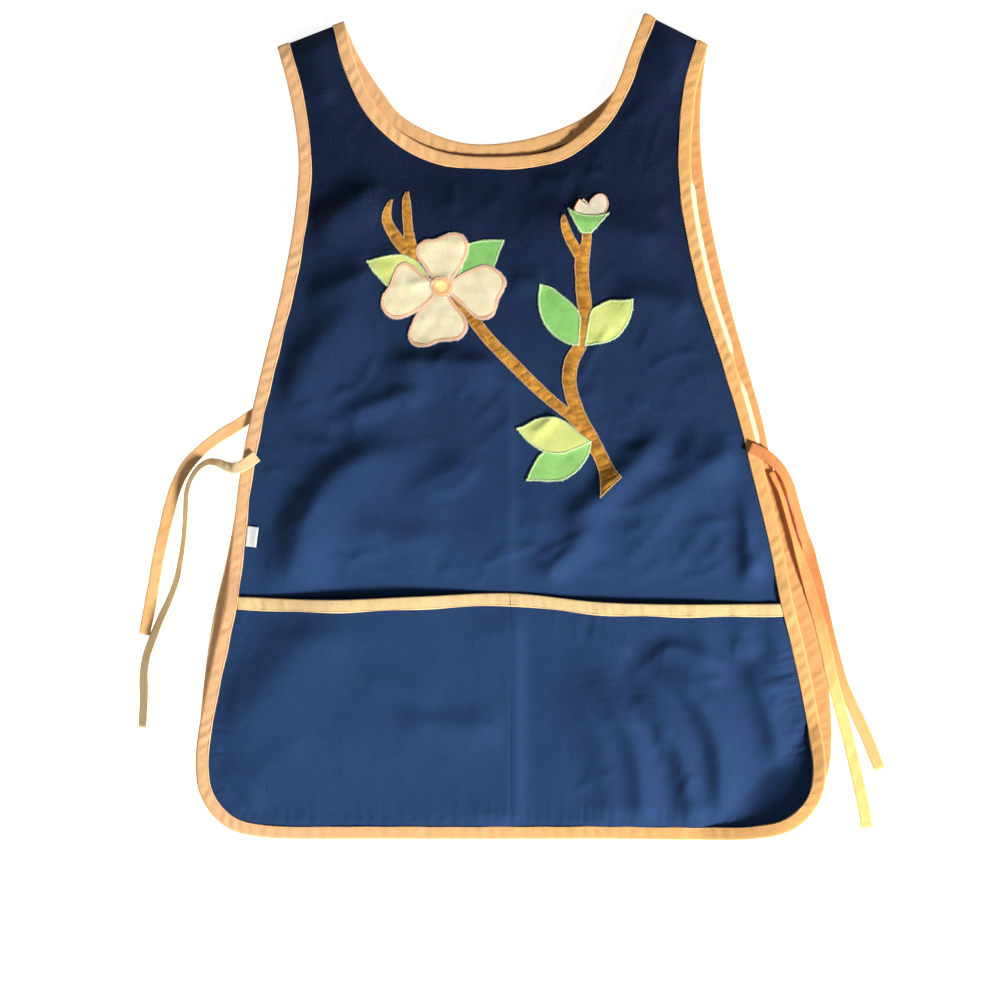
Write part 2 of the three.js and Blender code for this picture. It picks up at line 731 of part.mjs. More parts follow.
// Front edges run on over both shoulders
function overShoulders(edge, startForward, endForward) {
  const turns = Array.from({ length: FOLD_STEPS }, (_, k) => k + 1);
  const first = edge[0];
  const last = edge.at(-1);
  return [
    ...turnStations(first.point, first.inward, startForward, turns).reverse(),
    ...levelStations(edge, frontEdgeLevel),
    ...turnStations(last.point, last.inward, endForward, turns),
  ];
}

// The front's side binding also takes in the pocket, up to the mouth
function frontEdgeSlot({ origin }, k) {
  const { upper, lower, hem } = FRONT_CELLS;
  const first = FOLD_STEPS + upper;
  const last = first + 2 * lower + hem;
  return k >= first && k <= last ? pocketSeat(origin.y) + HALF_SLOT : HALF_SLOT;
}

function edgeBindingFront() {
  const stations = overShoulders(front.outer, shoulderLeft.forward, shoulderRight.forward);
  return sweepGeometry(stations, (station, k) => bindingSection(frontEdgeSlot(station, k)));
}

function neckBindingFront() {
  const stations = overShoulders(front.neck, shoulderRight.forward, shoulderLeft.forward);
  return sweepGeometry(stations, () => bindingSection(HALF_SLOT));
}

function backBinding(edge) {
  return sweepGeometry(levelStations(edge, () => BACK_LEVEL), () => bindingSection(HALF_SLOT));
}

// Ties

function tieGeometry(rows) {
  const curve = new THREE.CatmullRomCurve3(
    rows.map(({ x, y, z }) => new THREE.Vector3(x, y, z)), false, "centripetal",
  );
  const steps = (rows.length - 1) * TIE_STEPS_PER_ROW;
  const stations = Array.from({ length: steps + 1 }, (_, k) => {
    const row = k / TIE_STEPS_PER_ROW;
    const from = rows[Math.floor(row)];
    const to = rows[Math.ceil(row)];
    const twist = degToRad(lerp(from.twist, to.twist, row % 1));
    const along = curve.getTangent(k / steps);
    const inward = UP.clone().cross(along).normalize().applyAxisAngle(along, twist);
    return { origin: curve.getPoint(k / steps), inward, normal: along.clone().cross(inward) };
  });
  const corners = [[-1, -1], [1, -1], [1, 1], [-1, 1]];
  const section = corners.map(([x, y]) =>
    new THREE.Vector2((x * TIE_WIDTH) / 2, y * HALF_CLOTH));
  return sweepGeometry(stations, () => section);
}

// Applique pieces, laid on the front

const patchLevel = (x, y) => frontLevel(x, y) + CLOTH + PATCH_CLEARANCE;

function patchSheet(rows) {
  const { spots, cells } = gridSheet(rows, patchLevel);
  return sheetGeometry(spots, cells);
}

// A strip along a middle line, with a row of places across each section
function stripGeometry(sections) {
  const rows = sections.map(({ x, y, half }, k) => {
    const before = sections[Math.max(k - 1, 0)];
    const after = sections[Math.min(k + 1, sections.length - 1)];
    const right = new THREE.Vector3(after.y - before.y, before.x - after.x, 0).setLength(half);
    const middle = flat({ x, y });
    return [middle.clone().sub(right), middle, middle.clone().add(right)];
  });
  return patchSheet(rows);
}

function leafGeometry({ x, y, angle, length, half, widest }) {
  const turn = degToRad(angle);
  const sections = Array.from({ length: LEAF_STEPS + 1 }, (_, k) => {
    const t = k / LEAF_STEPS;
    const swell = t < widest ? 1 - t / widest : (t - widest) / (1 - widest);
    const width = half * Math.max(1 - swell ** LEAF_FULLNESS, 0) + LEAF_TIP;
    const along = length * t;
    return { x: x + along * Math.cos(turn), y: y + along * Math.sin(turn), half: width };
  });
  return stripGeometry(sections);
}

function petalGeometry({ angle, spread, reach }) {
  const rows = Array.from({ length: PETAL_CELLS.turn + 1 }, (_, j) => {
    const side = (2 * j) / PETAL_CELLS.turn - 1;
    const turn = degToRad(angle + side * spread);
    const notch = PETAL_NOTCH.depth * bump(PETAL_NOTCH.narrowness * side);
    const outer = reach * (1 - notch - PETAL_ROUNDING * side ** 4);
    return Array.from({ length: PETAL_CELLS.reach + 1 }, (_, i) => {
      const radius = lerp(BLOSSOM.petal, outer, i / PETAL_CELLS.reach);
      return flat({ x: BLOSSOM.x + radius * Math.cos(turn), y: BLOSSOM.y + radius * Math.sin(turn) });
    });
  });
  return patchSheet(rows);
}

// The assembled apron

const apron = new THREE.Group();
apron.name = "tabard_apron";

function clothMaterial(color) {
  return new THREE.MeshStandardMaterial({ color, roughness: 0.85, metalness: 0 });
}

function addPiece(group, name, geometry, color) {
  const mesh = new THREE.Mesh(geometry, clothMaterial(color));
  mesh.name = name;
  group.add(mesh);
  return mesh;
}

const panels = new THREE.Group();
addPiece(panels, "front_panel", frontPanel(), NAVY);
addPiece(panels, "back_panel", backPanel(), NAVY);
addPiece(panels, "pocket_panel", pocketPanel(), NAVY_POCKET);

const bindings = new THREE.Group();
addPiece(bindings, "edge_binding_front", edgeBindingFront(), PEACH);
addPiece(bindings, "neck_binding_front", neckBindingFront(), PEACH);
addPiece(bindings, "edge_binding_back", backBinding(back.outer), PEACH);
addPiece(bindings, "neck_binding_back", backBinding(back.neck), PEACH);
addPiece(bindings, "pocket_binding", pocketBinding(), PEACH);

const ties = new THREE.Group();
for (const [name, rows] of Object.entries(TIES)) addPiece(ties, name, tieGeometry(rows), PEACH);

const applique = new THREE.Group();
addPiece(applique, "label", stripGeometry(LABEL), WHITE);
for (const petal of PETALS) addPiece(applique, petal.name, petalGeometry(petal), PETAL_CREAM);
for (const leaf of LEAVES) addPiece(applique, leaf.name, leafGeometry(leaf), PATCH_COLOURS[leaf.name]);
for (const [name, sections] of Object.entries(STEMS)) {
  addPiece(applique, name, stripGeometry(sections), PATCH_COLOURS[name] ?? STEM_BROWN);
}
const centre = addPiece(
  applique,
  "blossom_centre",
  new THREE.CylinderGeometry(BLOSSOM.centre, BLOSSOM.centre, CLOTH, CENTRE_SIDES).rotateX(Math.PI / 2),
  STEM_BROWN,
);
centre.position.set(BLOSSOM.x, BLOSSOM.y, patchLevel(BLOSSOM.x, BLOSSOM.y));

apron.add(panels, bindings, ties, applique);

export default apron;
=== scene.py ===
import math
from collections import namedtuple

import bpy
import numpy as np
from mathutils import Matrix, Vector
from mathutils.kdtree import KDTree


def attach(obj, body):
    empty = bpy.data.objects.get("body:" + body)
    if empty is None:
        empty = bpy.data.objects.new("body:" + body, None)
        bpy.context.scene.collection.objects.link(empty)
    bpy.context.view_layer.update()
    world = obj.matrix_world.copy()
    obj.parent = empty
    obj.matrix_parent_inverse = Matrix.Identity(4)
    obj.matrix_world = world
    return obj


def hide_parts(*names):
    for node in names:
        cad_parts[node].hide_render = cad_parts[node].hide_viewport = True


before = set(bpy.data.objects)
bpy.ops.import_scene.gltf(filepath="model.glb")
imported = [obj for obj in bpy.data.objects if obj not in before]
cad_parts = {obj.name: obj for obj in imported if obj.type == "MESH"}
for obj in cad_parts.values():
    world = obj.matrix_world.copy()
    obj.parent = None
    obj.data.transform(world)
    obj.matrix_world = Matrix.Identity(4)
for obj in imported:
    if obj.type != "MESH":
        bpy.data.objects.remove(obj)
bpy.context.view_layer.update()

# Lengths below are in millimetres, and meshes are scaled to metres when they are made
MM = 0.001
UP = np.array([0.0, 0.0, 1.0])

# Thickness of cloth and tape, the play between them, and the widths of the tapes
CLOTH = 0.7
TAPE = 0.75
GAP = 0.25
SLOT_PLAY = 0.15
FOLD_PLAY = 0.3
BINDING_WIDTH = 11.4
TIE_WIDTH = 10.5
TIE_THICKNESS = 1.0
HALF_SLOT = CLOTH / 2 + SLOT_PLAY
HALF_BOUND = HALF_SLOT + TAPE
INSET = TAPE + FOLD_PLAY

# Heights of the middle of each layer: the front rises to the chest and drops to the shoulders and the neck
PANEL_GAP = 0.5
CHEST_RISE = 4.0
CHEST_RUN = (-15.0, 190.0)
BACK_LEVEL = HALF_BOUND
FRONT_LOW = BACK_LEVEL + 2 * HALF_BOUND + PANEL_GAP
FRONT_HIGH = FRONT_LOW + CHEST_RISE
NECK_DROP = 3.7
NECK_RUN = (200.0, 245.0)
NECK_MIDDLE = -20.0
NECK_SPREAD = (40.0, 120.0)
SHOULDER_DROP = 3.0
SHOULDER_RUN = 20.0
SHOULDER_TOP = FRONT_HIGH - SHOULDER_DROP
SHOULDER_RADIUS = (SHOULDER_TOP - BACK_LEVEL) / 2
SHOULDER_LEVEL = (SHOULDER_TOP + BACK_LEVEL) / 2
SHOULDER_REACH = SHOULDER_RADIUS + HALF_BOUND
SHOULDER_STEPS = 12

# Loft of the front over the back, away from its edges and from the pocket
FRONT_LOFT = 3.0
EDGE_MARGIN = 7.0
LOFT_RUN = 60.0
FOLD_RUN = 24.0
MOUTH_LEVEL = -150.0
MOUTH_EASE = (MOUTH_LEVEL - 12.0, MOUTH_LEVEL + 25.0)

# Seat of the pocket on the front, and how the edge tape opens to grip both, with a bulge at the mouth's ends
POCKET_SEAT = CLOTH + GAP
POCKET_MOUTH_SEAT = HALF_SLOT + HALF_BOUND
SEAT_RUN = (MOUTH_LEVEL - 60.0, MOUTH_LEVEL - 20.0)
GRIP_RUN = (MOUTH_LEVEL + 2.0, MOUTH_LEVEL + 18.0)
MOUTH_BULGE = 1.1
BULGE_LEVEL = MOUTH_LEVEL - 13.0
BULGE_WIDTH = 15.0

# Gape of the pocket on both sides of its middle seam, and the share that the right side loses
CENTRE_STITCH = -2.4
POCKET_GAPE = 6.5
RIGHT_LOSS = 0.5
CENTRE_RUN = 30.0
GAPE_RUN = 100.0
GAPE_FROM_CENTRE = (3.0, GAPE_RUN)
GAPE_FROM_EDGE = (EDGE_MARGIN + 5.0, EDGE_MARGIN + 5.0 + GAPE_RUN)

# Crest of the cloth beside the middle seam, and the groove of its stitches
CREST_HEIGHT = 3.8
CREST_ASIDE = 1.0
CREST_LEFT = 60.0
CREST_RIGHT = 9.0
GROOVE_DEPTH = 0.8
GROOVE_WIDTH = 1.6
CREST_FROM_MOUTH = (4.0, 40.0)
CREST_FROM_EDGE = (8.0, 24.0)

# Where the pocket's folds and gathers start and are full, and their least shares
FOLDS_FROM_EDGE = (EDGE_MARGIN - 2.0, EDGE_MARGIN + FOLD_RUN)
FOLDS_FROM_CENTRE = (2.0, 16.0)
FOLDS_FROM_MOUTH = (8.0, 40.0)
MOUTH_FOLDS = 0.25
DEEPEST_DIP = -0.4
GATHERS_FROM_CENTRE = (6.0, 30.0)
GATHERS_TO_RIGHT = (0.0, 60.0)
LEFT_GATHERS = 0.35

# Gathers beside stitched edges: height, wavelength, how far they hold and fade, where they start, and seed
Gather = namedtuple("Gather", "height wavelength hold fade start seed")
FRONT_GATHER = Gather(0.22, 9, 0, 16, (8, 16), 21)
POCKET_GATHER = Gather(1.5, 10, 12, 11, (11, 18), 31)
MOUTH_GATHER = Gather(0.5, 15, 0, 22, (8, 15), 32)

# Ripples over the cloth: heights of the broad ones in each panel, and of the fine ones
FRONT_RIPPLE = 0.45
POCKET_RIPPLE = 0.4
BACK_RIPPLE = 0.35
BACK_LIMITS = (-0.7, 0.9)
BACK_RUN = (10.0, 50.0)
FINE_RIPPLE = 0.07

# Fold lines over the shoulders: outer and inner end
SHOULDERS = {
    "left": ((-213.3, 342.0), (-153.5, 365.4)),
    "right": ((175.5, 343.8), (118.0, 372.6)),
}

# Finished sides from shoulder to hem: y, left x, right x
FRONT_SIDES = [
    (307, -203.4, 164.5),
    (275, -197.1, 160.7),
    (238, -193.5, 158.9),
    (189, -197.1, 163.5),
    (124, -208.8, 177.5),
    (59, -225.0, 198.3),
    (5, -237.6, 214.4),
    (-40, -246.2, 225.5),
    (-113, -254.7, 242.9),
    (-157, -260.1, 251.0),
    (-200, -269.1, 261.8),
    (-243, -278.1, 270.7),
    (-281, -284.9, 277.2),
    (-305, -286.5, 279.5),
]
BACK_SIDES = [
    (307, -200.5, 169.5),
    (270, -193.0, 167.8),
    (232, -190.5, 170.1),
    (189, -194.0, 176.4),
    (124, -206.0, 190.8),
    (59, -222.0, 208.8),
    (5, -235.0, 224.1),
    (-40, -244.5, 233.6),
    (-113, -257.5, 253.2),
    (-175, -271.5, 269.6),
    (-235, -279.8, 283.2),
    (-283, -283.5, 286.5),
    (-315, -281.0, 282.5),
]

# Rounded lower corners and hem from left to right, with the places of the corners in the list
FRONT_HEM = [
    (-283.5, -329.5), (-271, -351), (-254, -364), (-226, -370.4), (-120, -371.8),
    (60, -371.8), (220, -370), (250, -361), (267, -346), (277, -327),
]
FRONT_CORNERS = (FRONT_HEM[1], FRONT_HEM[8])
BACK_HEM = [(-267, -346), (-232, -362), (-120, -365), (80, -365), (232, -362), (267, -346)]
BACK_CORNERS = (BACK_HEM[0], BACK_HEM[5])

# Finished neck edges from right to left, and the pocket mouth from left to right
FRONT_NECK = [
    (102.6, 333), (95, 312), (79.2, 282), (60, 263), (36.9, 249), (-12.3, 242.6),
    (-64.3, 246.8), (-100.2, 263.3), (-127.4, 292.5), (-144.9, 333),
]
BACK_NECK = [
    (103, 333), (94.2, 308), (78.3, 290), (55.5, 274), (5.4, 257.4), (-47.7, 255.6),
    (-99, 278), (-119.2, 302), (-141, 336),
]
POCKET_MOUTH = [
    (-249.3, -153.9), (-165.6, -156.6), (-85, -153.5), (-1.8, -150.8),
    (74.7, -158.5), (140.4, -160.6), (245.7, -160.2),
]

# Stretches of the right armhole where the tape's fold stands out: y from and to, how far out and how far down
Lip = namedtuple("Lip", "low high out fall")
ARMHOLE_LIPS = [Lip(58, 226, 2.6, 2.3), Lip(-24, 46, 2.4, 1.4)]
LIP_EASE = 16.0
LIP_ROOT = 0.9

# Folds: height of the crest, how far its lit and its shaded side reach, and the line of the crest
Fold = namedtuple("Fold", "height lit shade line")
FRONT_FOLDS = [
    Fold(5.0, 20, 15, [(-186, 164), (-157, 190), (-112, 218)]),
    Fold(3.2, 18, 14, [(-190, 110), (-155, 127), (-122, 140)]),
    Fold(4.2, 24, 18, [(-206, 2), (-184, 57), (-157, 93), (-122, 120)]),
    Fold(4.6, 18, 11, [(-122, 56), (-90, 57), (-50, 56), (-2, 52)]),
    Fold(2.6, 11, 9, [(-166, 4), (-122, 20), (-70, 37)]),
    Fold(5.4, 32, 16, [
        (-212, -176), (-202, -140), (-193, -105), (-182, -79),
        (-163, -50), (-136, -29), (-108, -26), (-70, -18),
    ]),
    Fold(1.8, 16, 13, [(-104, -64), (-66, -46), (-30, -26)]),
    Fold(1.8, 15, 12, [(-150, -84), (-108, -99), (-56, -104)]),
    Fold(4.6, 16, 14, [(36, -100), (62, -78), (76, -66), (98, -44), (120, -24), (142, 2)]),
    Fold(3.4, 20, 13, [(94, -80), (108, -72), (138, -59), (164, -44), (206, -18)]),
    Fold(3.0, 14, 26, [(140, -18), (172, -30), (206, -16)]),
    Fold(2.8, 14, 8, [(206, -50), (211, -95), (209, -165)]),
    Fold(3.2, 14, 12, [(14, -142), (34, -127), (50, -116), (64, -98), (74, -80)]),
    Fold(2.0, 10, 9, [(208, -138), (222, -120), (232, -100)]),
    Fold(0.7, 9, 7, [(91, -134), (124, -96), (158, -53)]),
    Fold(0.7, 9, 7, [(131, -143), (160, -106), (186, -72)]),
    Fold(3.0, 17, 15, [(82, 112), (124, 114), (170, 100)]),
    Fold(3.0, 20, 16, [(0, 191), (68, 182), (156, 160)]),
    Fold(1.4, 11, 9, [(14, 226), (55, 217)]),
    Fold(1.6, 10, 9, [(-6, 131), (30, 129)]),
    Fold(2.4, 11, 12, [(160, 332), (138, 300)]),
    Fold(1.6, 12, 12, [(-196, 318), (-160, 292)]),
    Fold(2.2, 40, 8, [(-212, 325), (-178, 339), (-143, 352)]),
    Fold(2.2, 40, 8, [(173, 327), (140, 344), (106, 360)]),
    Fold(1.0, 6.0, 60, [(-6.5, 110), (-5.5, -40), (-4.6, -190)]),
]
POCKET_FOLDS = [
    Fold(3.4, 36, 26, [(-262, -296), (-220, -232), (-184, -190), (-146, -150)]),
    Fold(1.9, 18, 14, [(-112, -262), (-56, -271), (0, -268)]),
    Fold(0.8, 13, 12, [(-146, -224), (-103, -233), (-62, -250)]),
    Fold(1.2, 12, 10, [(-272, -306), (-246, -319), (-226, -352)]),
    Fold(2.2, 18, 17, [(38, -214), (61, -249), (76, -275), (83, -304), (92, -400)]),
    Fold(4.4, 17, 13, [(64, -216), (93, -257), (106, -280), (112, -303), (119, -400)]),
    Fold(5.0, 18, 13, [(100, -218), (132, -265), (147, -288), (155, -316), (172, -405)]),
    Fold(5.6, 20, 12, [(106, -196), (136, -221), (159, -241), (175, -266), (183, -290), (189, -380)]),
    Fold(3.4, 15, 11, [(208, -206), (226, -249), (233, -273), (240, -316)]),
    Fold(1.9, 14, 7, [(120, -218), (130, -206), (141, -199), (157, -202), (175, -210), (204, -220)]),
    Fold(1.0, 11, 10, [(70, -176), (85, -191), (108, -208)]),
    Fold(1.2, 6, 5, [(222, -236), (240, -232), (262, -230)]),
    Fold(1.8, 9, 11, [(160, -158), (168, -186), (180, -220)]),
    Fold(1.8, 9, 9, [(198, -160), (203, -182), (212, -214)]),
    Fold(1.6, 9, 9, [(232, -164), (237, -190), (244, -226)]),
]

# The lower right corner curls up beyond this line
CURL_LINE = ((188.0, -350.0), (272.0, -264.0))
CURL_SLOPE = 0.42
CURL_BEND = 7.0

# Small creases scattered over the cloth: limits of their sizes, and how much they turn and bow
CREASE_LENGTH = (20.0, 75.0)
CREASE_HEIGHT = (0.15, 0.65)
CREASE_WIDTH = (3.5, 8.0)
CREASE_SHADE = (0.6, 1.0)
CREASE_TURN = 32
CREASE_BOW = 0.25

# Ties from the sewn end: x, y, z and the twist about the route in degrees
TIE_ROUTES = {
    "tie_front_left": [
        (-231.5, -27, 8.3, 0), (-241, -34, 8.3, 0), (-250, -37.6, 8.3, 10), (-258.5, -36.5, 6.6, 30),
        (-267.5, -33, 5.2, 48), (-276.5, -32.5, 5.2, 56), (-285, -38.5, 5.2, 58), (-291.5, -48.6, 5.2, 60),
        (-295, -60, 5.2, 60), (-296, -80, 5.2, 60), (-298, -105, 5.2, 60), (-300.6, -121.5, 5.2, 58),
        (-304, -138.6, 5.0, 54), (-311, -157.5, 4.7, 50), (-318.5, -173.7, 4.5, 46),
        (-325, -189.9, 4.2, 42), (-331, -207, 4.0, 38), (-333.5, -222, 3.8, 36),
        (-333.5, -245, 3.8, 36), (-334.8, -271.8, 3.8, 36),
    ],
    "tie_back_left": [
        (-231, 13, 2.7, 0), (-240, 7.4, 1.9, 0), (-249, 1, 1.3, 0), (-262.8, -7.2, 0.8, 0),
        (-280.8, -20.7, 0.8, 0), (-295.2, -36, 0.8, 0), (-305.1, -54.9, 0.8, 0),
        (-310.5, -72.9, 0.8, 0), (-315, -91.8, 0.8, 0), (-320.4, -116.1, 0.8, 0),
        (-325.4, -144.9, 0.8, 0), (-331.2, -176.4, 0.8, 0), (-333.5, -188.1, 0.8, 0),
    ],
    "tie_front_right": [
        (211.5, -19, 8.3, 0), (223, -24.3, 8.3, 0), (234, -32, 7.8, -15), (243.5, -43.5, 6.2, -28),
        (250, -58.5, 4.6, -32), (255.4, -77.4, 3.6, -32), (261.2, -97.2, 3.2, -30), (267.7, -117, 0.8, 0),
        (272, -135, 0.8, 0), (276.2, -151, 0.8, 0), (282.6, -180, 0.8, 0), (289.5, -207.9, 0.8, 0),
        (296.5, -232.2, 0.8, 0), (308.8, -259.2, 0.8, 0), (318.6, -280.8, 0.8, 0), (330.2, -309.6, 0.8, 0),
    ],
    "tie_back_right": [
        (234, -40, 4.2, -10), (238, -50, 4.2, -32), (242, -60, 4.3, -45), (247, -77, 4.2, -45),
        (252.5, -97, 4.2, -45), (258, -117, 4.1, -34), (263.4, -135, 3.7, -18), (268, -151, 2.9, -8),
        (275.6, -177, 2.5, 0), (281.8, -203, 2.4, 0), (288, -232, 2.3, 0), (294.5, -254, 1.2, 0),
        (303, -287, 0.8, 0), (310, -317, 0.8, 0),
        (316.5, -348, 0.8, 0), (318.6, -362.7, 0.8, 0),
    ],
}

# Applique patches: layer, cloth, edge, and the runs of the outline, each from one corner up to the next
Patch = namedtuple("Patch", "layer cloth edge runs")
PATCHES = {
    "leaf_blossom_left": Patch(1, "leaf_light", "leaf", [
        [(-132.4, 148.2), (-120, 151.4), (-107.6, 153.7), (-97.8, 153.4), (-87, 147.5)],
        [(-77, 135), (-95, 124), (-113.8, 125.8), (-121, 132.6), (-127.2, 139.6)],
    ]),
    "leaf_blossom_right": Patch(1, "leaf_green", "leaf", [
        [(-50.8, 134.6), (-46, 147)],
        [(-41, 163.8), (-30, 166.4), (-19.8, 167.2)],
        [(-9, 166.9), (-13.6, 156), (-19.8, 142), (-35, 138)],
    ]),
    "petal_top": Patch(2, "petal", "petal", [[
        (-66, 126.5), (-75, 134.2), (-80.7, 142.9), (-87.2, 153), (-87.5, 160.5), (-79.8, 166.8),
        (-71, 167.6), (-64, 170.8), (-55.5, 173.5), (-47, 171.6), (-41.5, 163), (-43.5, 151), (-49.5, 140.5),
        (-53.8, 133.8), (-61, 127),
    ]]),
    "petal_right": Patch(2, "petal", "petal", [[
        (-61, 126.5), (-53.2, 132.4), (-42.5, 138.8), (-26, 144.4), (-15.5, 140.3), (-7.4, 130.5),
        (-9.3, 122.5), (-14, 114), (-15.7, 106.7), (-19.5, 98.8), (-26, 96), (-34, 97.3), (-47, 108.8),
        (-56.4, 117), (-61, 122),
    ]]),
    "petal_bottom": Patch(2, "petal", "petal", [[
        (-67, 121.5), (-72.6, 115.6), (-77.6, 110.9), (-85.5, 103.8), (-91, 94), (-95, 80.5), (-91.6, 73.9),
        (-83.8, 71.4), (-75, 72.8), (-66.5, 76.2), (-57, 76.8), (-48.5, 78.8), (-42.3, 87), (-44.4, 98),
        (-51, 106), (-57.4, 115.4), (-62.5, 121.5),
    ]]),
    "petal_left": Patch(2, "petal", "petal", [[
        (-68.5, 126.5), (-75.4, 132.4), (-82.8, 136.7), (-90.5, 143.6), (-97, 146.6), (-103.5, 144.5),
        (-108, 136.5), (-112, 126), (-118, 117.3), (-119, 107.5), (-113.3, 99), (-105.5, 96.4), (-93, 100),
        (-81.5, 107.2), (-73.2, 115), (-68.5, 122),
    ]]),
    "blossom_centre": Patch(3, "stamen", "centre", [[
        (-54.6, 125.3), (-57.4, 131.8), (-64.6, 134.4), (-71.8, 132.0), (-75.2, 126.0), (-72.4, 119.2),
        (-64.8, 115.6), (-57.6, 118.2),
    ]]),
    "leaf_middle_left": Patch(2, "leaf_green", "leaf", [
        [(23.2, 127.2), (32.5, 125.0), (44, 116.5), (54.8, 106.8), (59.4, 98), (59.2, 85)],
        [(58.2, 71.8), (48, 74.3), (37, 80.8), (28, 90.5), (22.6, 104), (22.0, 117)],
    ]),
    "leaf_middle_right": Patch(2, "leaf_light", "leaf", [
        [(106.6, 113.6), (96, 112.8), (86.3, 113), (77, 109), (70, 104.5), (66.6, 92)],
        [(63.2, 72.3), (74, 73.6), (85, 76), (93.5, 80.8), (101, 90.5), (105.5, 101.5)],
    ]),
    "leaf_low_under": Patch(2, "leaf_green_pale", "leaf", [
        [(11.2, -49), (16, -37.5), (25, -24.4), (40, -19), (57, -14)],
        [(69.4, -14.6), (67.5, -24.4), (62, -34.5), (54, -42.6)],
        [(43.4, -49), (30, -49.6), (20, -49)],
    ]),
    "leaf_low_left": Patch(3, "leaf_light", "leaf", [
        [(2.2, -2.2), (10.5, 1), (19, 5.9), (29, 8.1), (38.5, 7.6), (48, 2.8), (59, -6.6)],
        [(70, -14.2), (57.5, -19.9), (45, -24.5), (34, -24.7), (22.5, -21), (11, -12.6)],
    ]),
    "bud": Patch(1, "bud", "bud", [
        [(66.9, 199.5), (69.0, 203.4), (72.8, 207.0), (77.5, 208.8), (82.1, 206.7), (84.5, 201.8), (84, 196)],
        [(79, 187), (68.7, 184), (58, 188)],
        [(53.8, 195), (55.8, 199.2)],
        [(58.7, 203.6), (60.2, 202.6)],
        [(62.5, 204.2), (64.6, 202.0)],
    ]),
    "calyx": Patch(2, "leaf_green", "leaf", [
        [(48.2, 195), (54.2, 192.4), (61, 189.7), (70.5, 188.7), (79, 189.7)],
        [(85.4, 191), (79, 184), (73, 177)],
        [(69.7, 173.4), (64, 172.8)],
        [(59.4, 173.8), (54.4, 182)],
    ]),
}

# Threads over each kind of edge: how far each reaches inside and outside the outline, and its extra rise
Edge = namedtuple("Edge", "thread inner outer rise")
EDGES = {
    "petal": [Edge("petal_thread", 3.0, -0.9, 0), Edge("petal_fringe", 1.4, 0.9, 0)],
    "centre": [Edge("petal_thread", 5.4, -0.6, 0), Edge("petal_fringe", 1.0, 0.4, 0)],
    "bud": [Edge("petal_thread", 0.9, 0.3, 0)],
    "leaf": [Edge("leaf_thread", 1.6, 0.7, 0)],
    "stem": [Edge("stem_thread", 0.7, 0.5, 0.35)],
}

# Branch pieces: x, y and half width of each section
STEMS = {
    "fork_prong_left": [
        (-110.2, 203.2, 1.0), (-113.3, 194.5, 2.9), (-114.5, 186.5, 4.1), (-111.5, 178, 4.6),
        (-105.5, 168.7, 5.2), (-98.8, 161, 5.8), (-92.5, 155, 5.6), (-85, 147.5, 4.0),
    ],
    "fork_prong_right": [
        (-96.2, 210.4, 1.2), (-96.8, 202.8, 3.3), (-96.4, 192.5, 3.9), (-95.7, 182.1, 4.0),
        (-94.7, 172.8, 4.3), (-92.8, 164, 4.6), (-90.5, 156.5, 4.6),
    ],
    "long_branch": [
        (-56, 115.5, 4.0), (-45.6, 104.7, 4.6), (-36.9, 95.4, 4.9), (-21.6, 76.8, 5.2), (-1.8, 56.7, 5.4),
        (17.1, 37.8, 5.2), (34, 22.5, 4.8), (50, 9.5, 4.4), (61, -2, 4.0),
    ],
    "side_twig": [
        (44.1, 189.2, 1.0), (44.9, 182.2, 3.0), (47, 174.9, 3.8), (50.6, 166.7, 4.2), (55, 159.4, 4.4),
        (59, 152, 4.4),
    ],
    "upright_branch": [
        (65.4, 176, 4.0), (64.5, 163.6, 4.3), (61.6, 152, 6.0), (60.7, 143.9, 6.2), (61.2, 133.6, 5.9),
        (61.6, 123.3, 6.1), (62.9, 113, 6.4), (63.7, 102.6, 5.6), (62.5, 87.1, 5.2), (60, 73.5, 5.4),
        (52.3, 59.5, 6.2), (49.6, 45, 6.2), (50.7, 32.4, 6.0), (55.4, 16.9, 6.0), (61, 3, 6.4),
        (68.5, -10, 6.5), (75.5, -23, 6.2), (79.4, -31, 6.2), (83, -40, 7.0), (85.4, -48, 9.6),
        (86.6, -55.4, 13.4),
    ],
}

# Direction of the slanting cut at the foot of a stem
STEM_CUTS = {"upright_branch": (0.72, 0.7)}

# Label: its middle line from the binding, half its height, and how it lies
LABEL_RUN = [(-241.2, -99.0), (-236.5, -99.5), (-231.2, -100.2)]
LABEL_HALF = 9.2
LABEL_STEP = 1.0
LABEL_PLACES = 19
LABEL_FLAT = 3
LABEL_THICKNESS = 0.5
LABEL_LIFT = 1.2
LABEL_CURL = 0.9
LABEL_WAVE = 0.25
LABEL_WAVELENGTH = 14.0

# Seeds of what is drawn at random, the first of each kind
BINDING_SEED = 40
PATCH_SEED = 60
SATIN_SEED = 80
STEM_SEED = 110
STEM_SATIN_SEED = 130
TIE_SEED = 150
LABEL_SEED = 5


# Curves

KNOT_STEPS = 24
FINE_STEP = 0.5
WANDER_WAVES = 5
WANDER_STRETCH = (0.6, 1.7)
WANDER_SCALE = 2.2


def lengths_along(line):
    """Length along a line up to each of its points."""
    steps = np.linalg.norm(np.diff(line, axis=0), axis=1)
    return np.concatenate([[0.0], np.cumsum(steps)])


def respaced(line, count):
    """The line again, as a number of evenly spaced points."""
    along = lengths_along(line)
    at = np.linspace(0, along[-1], count)
    return np.column_stack([np.interp(at, along, line[:, k]) for k in range(line.shape[1])])


def line_length(line):
    return float(np.linalg.norm(np.diff(line, axis=0), axis=1).sum())


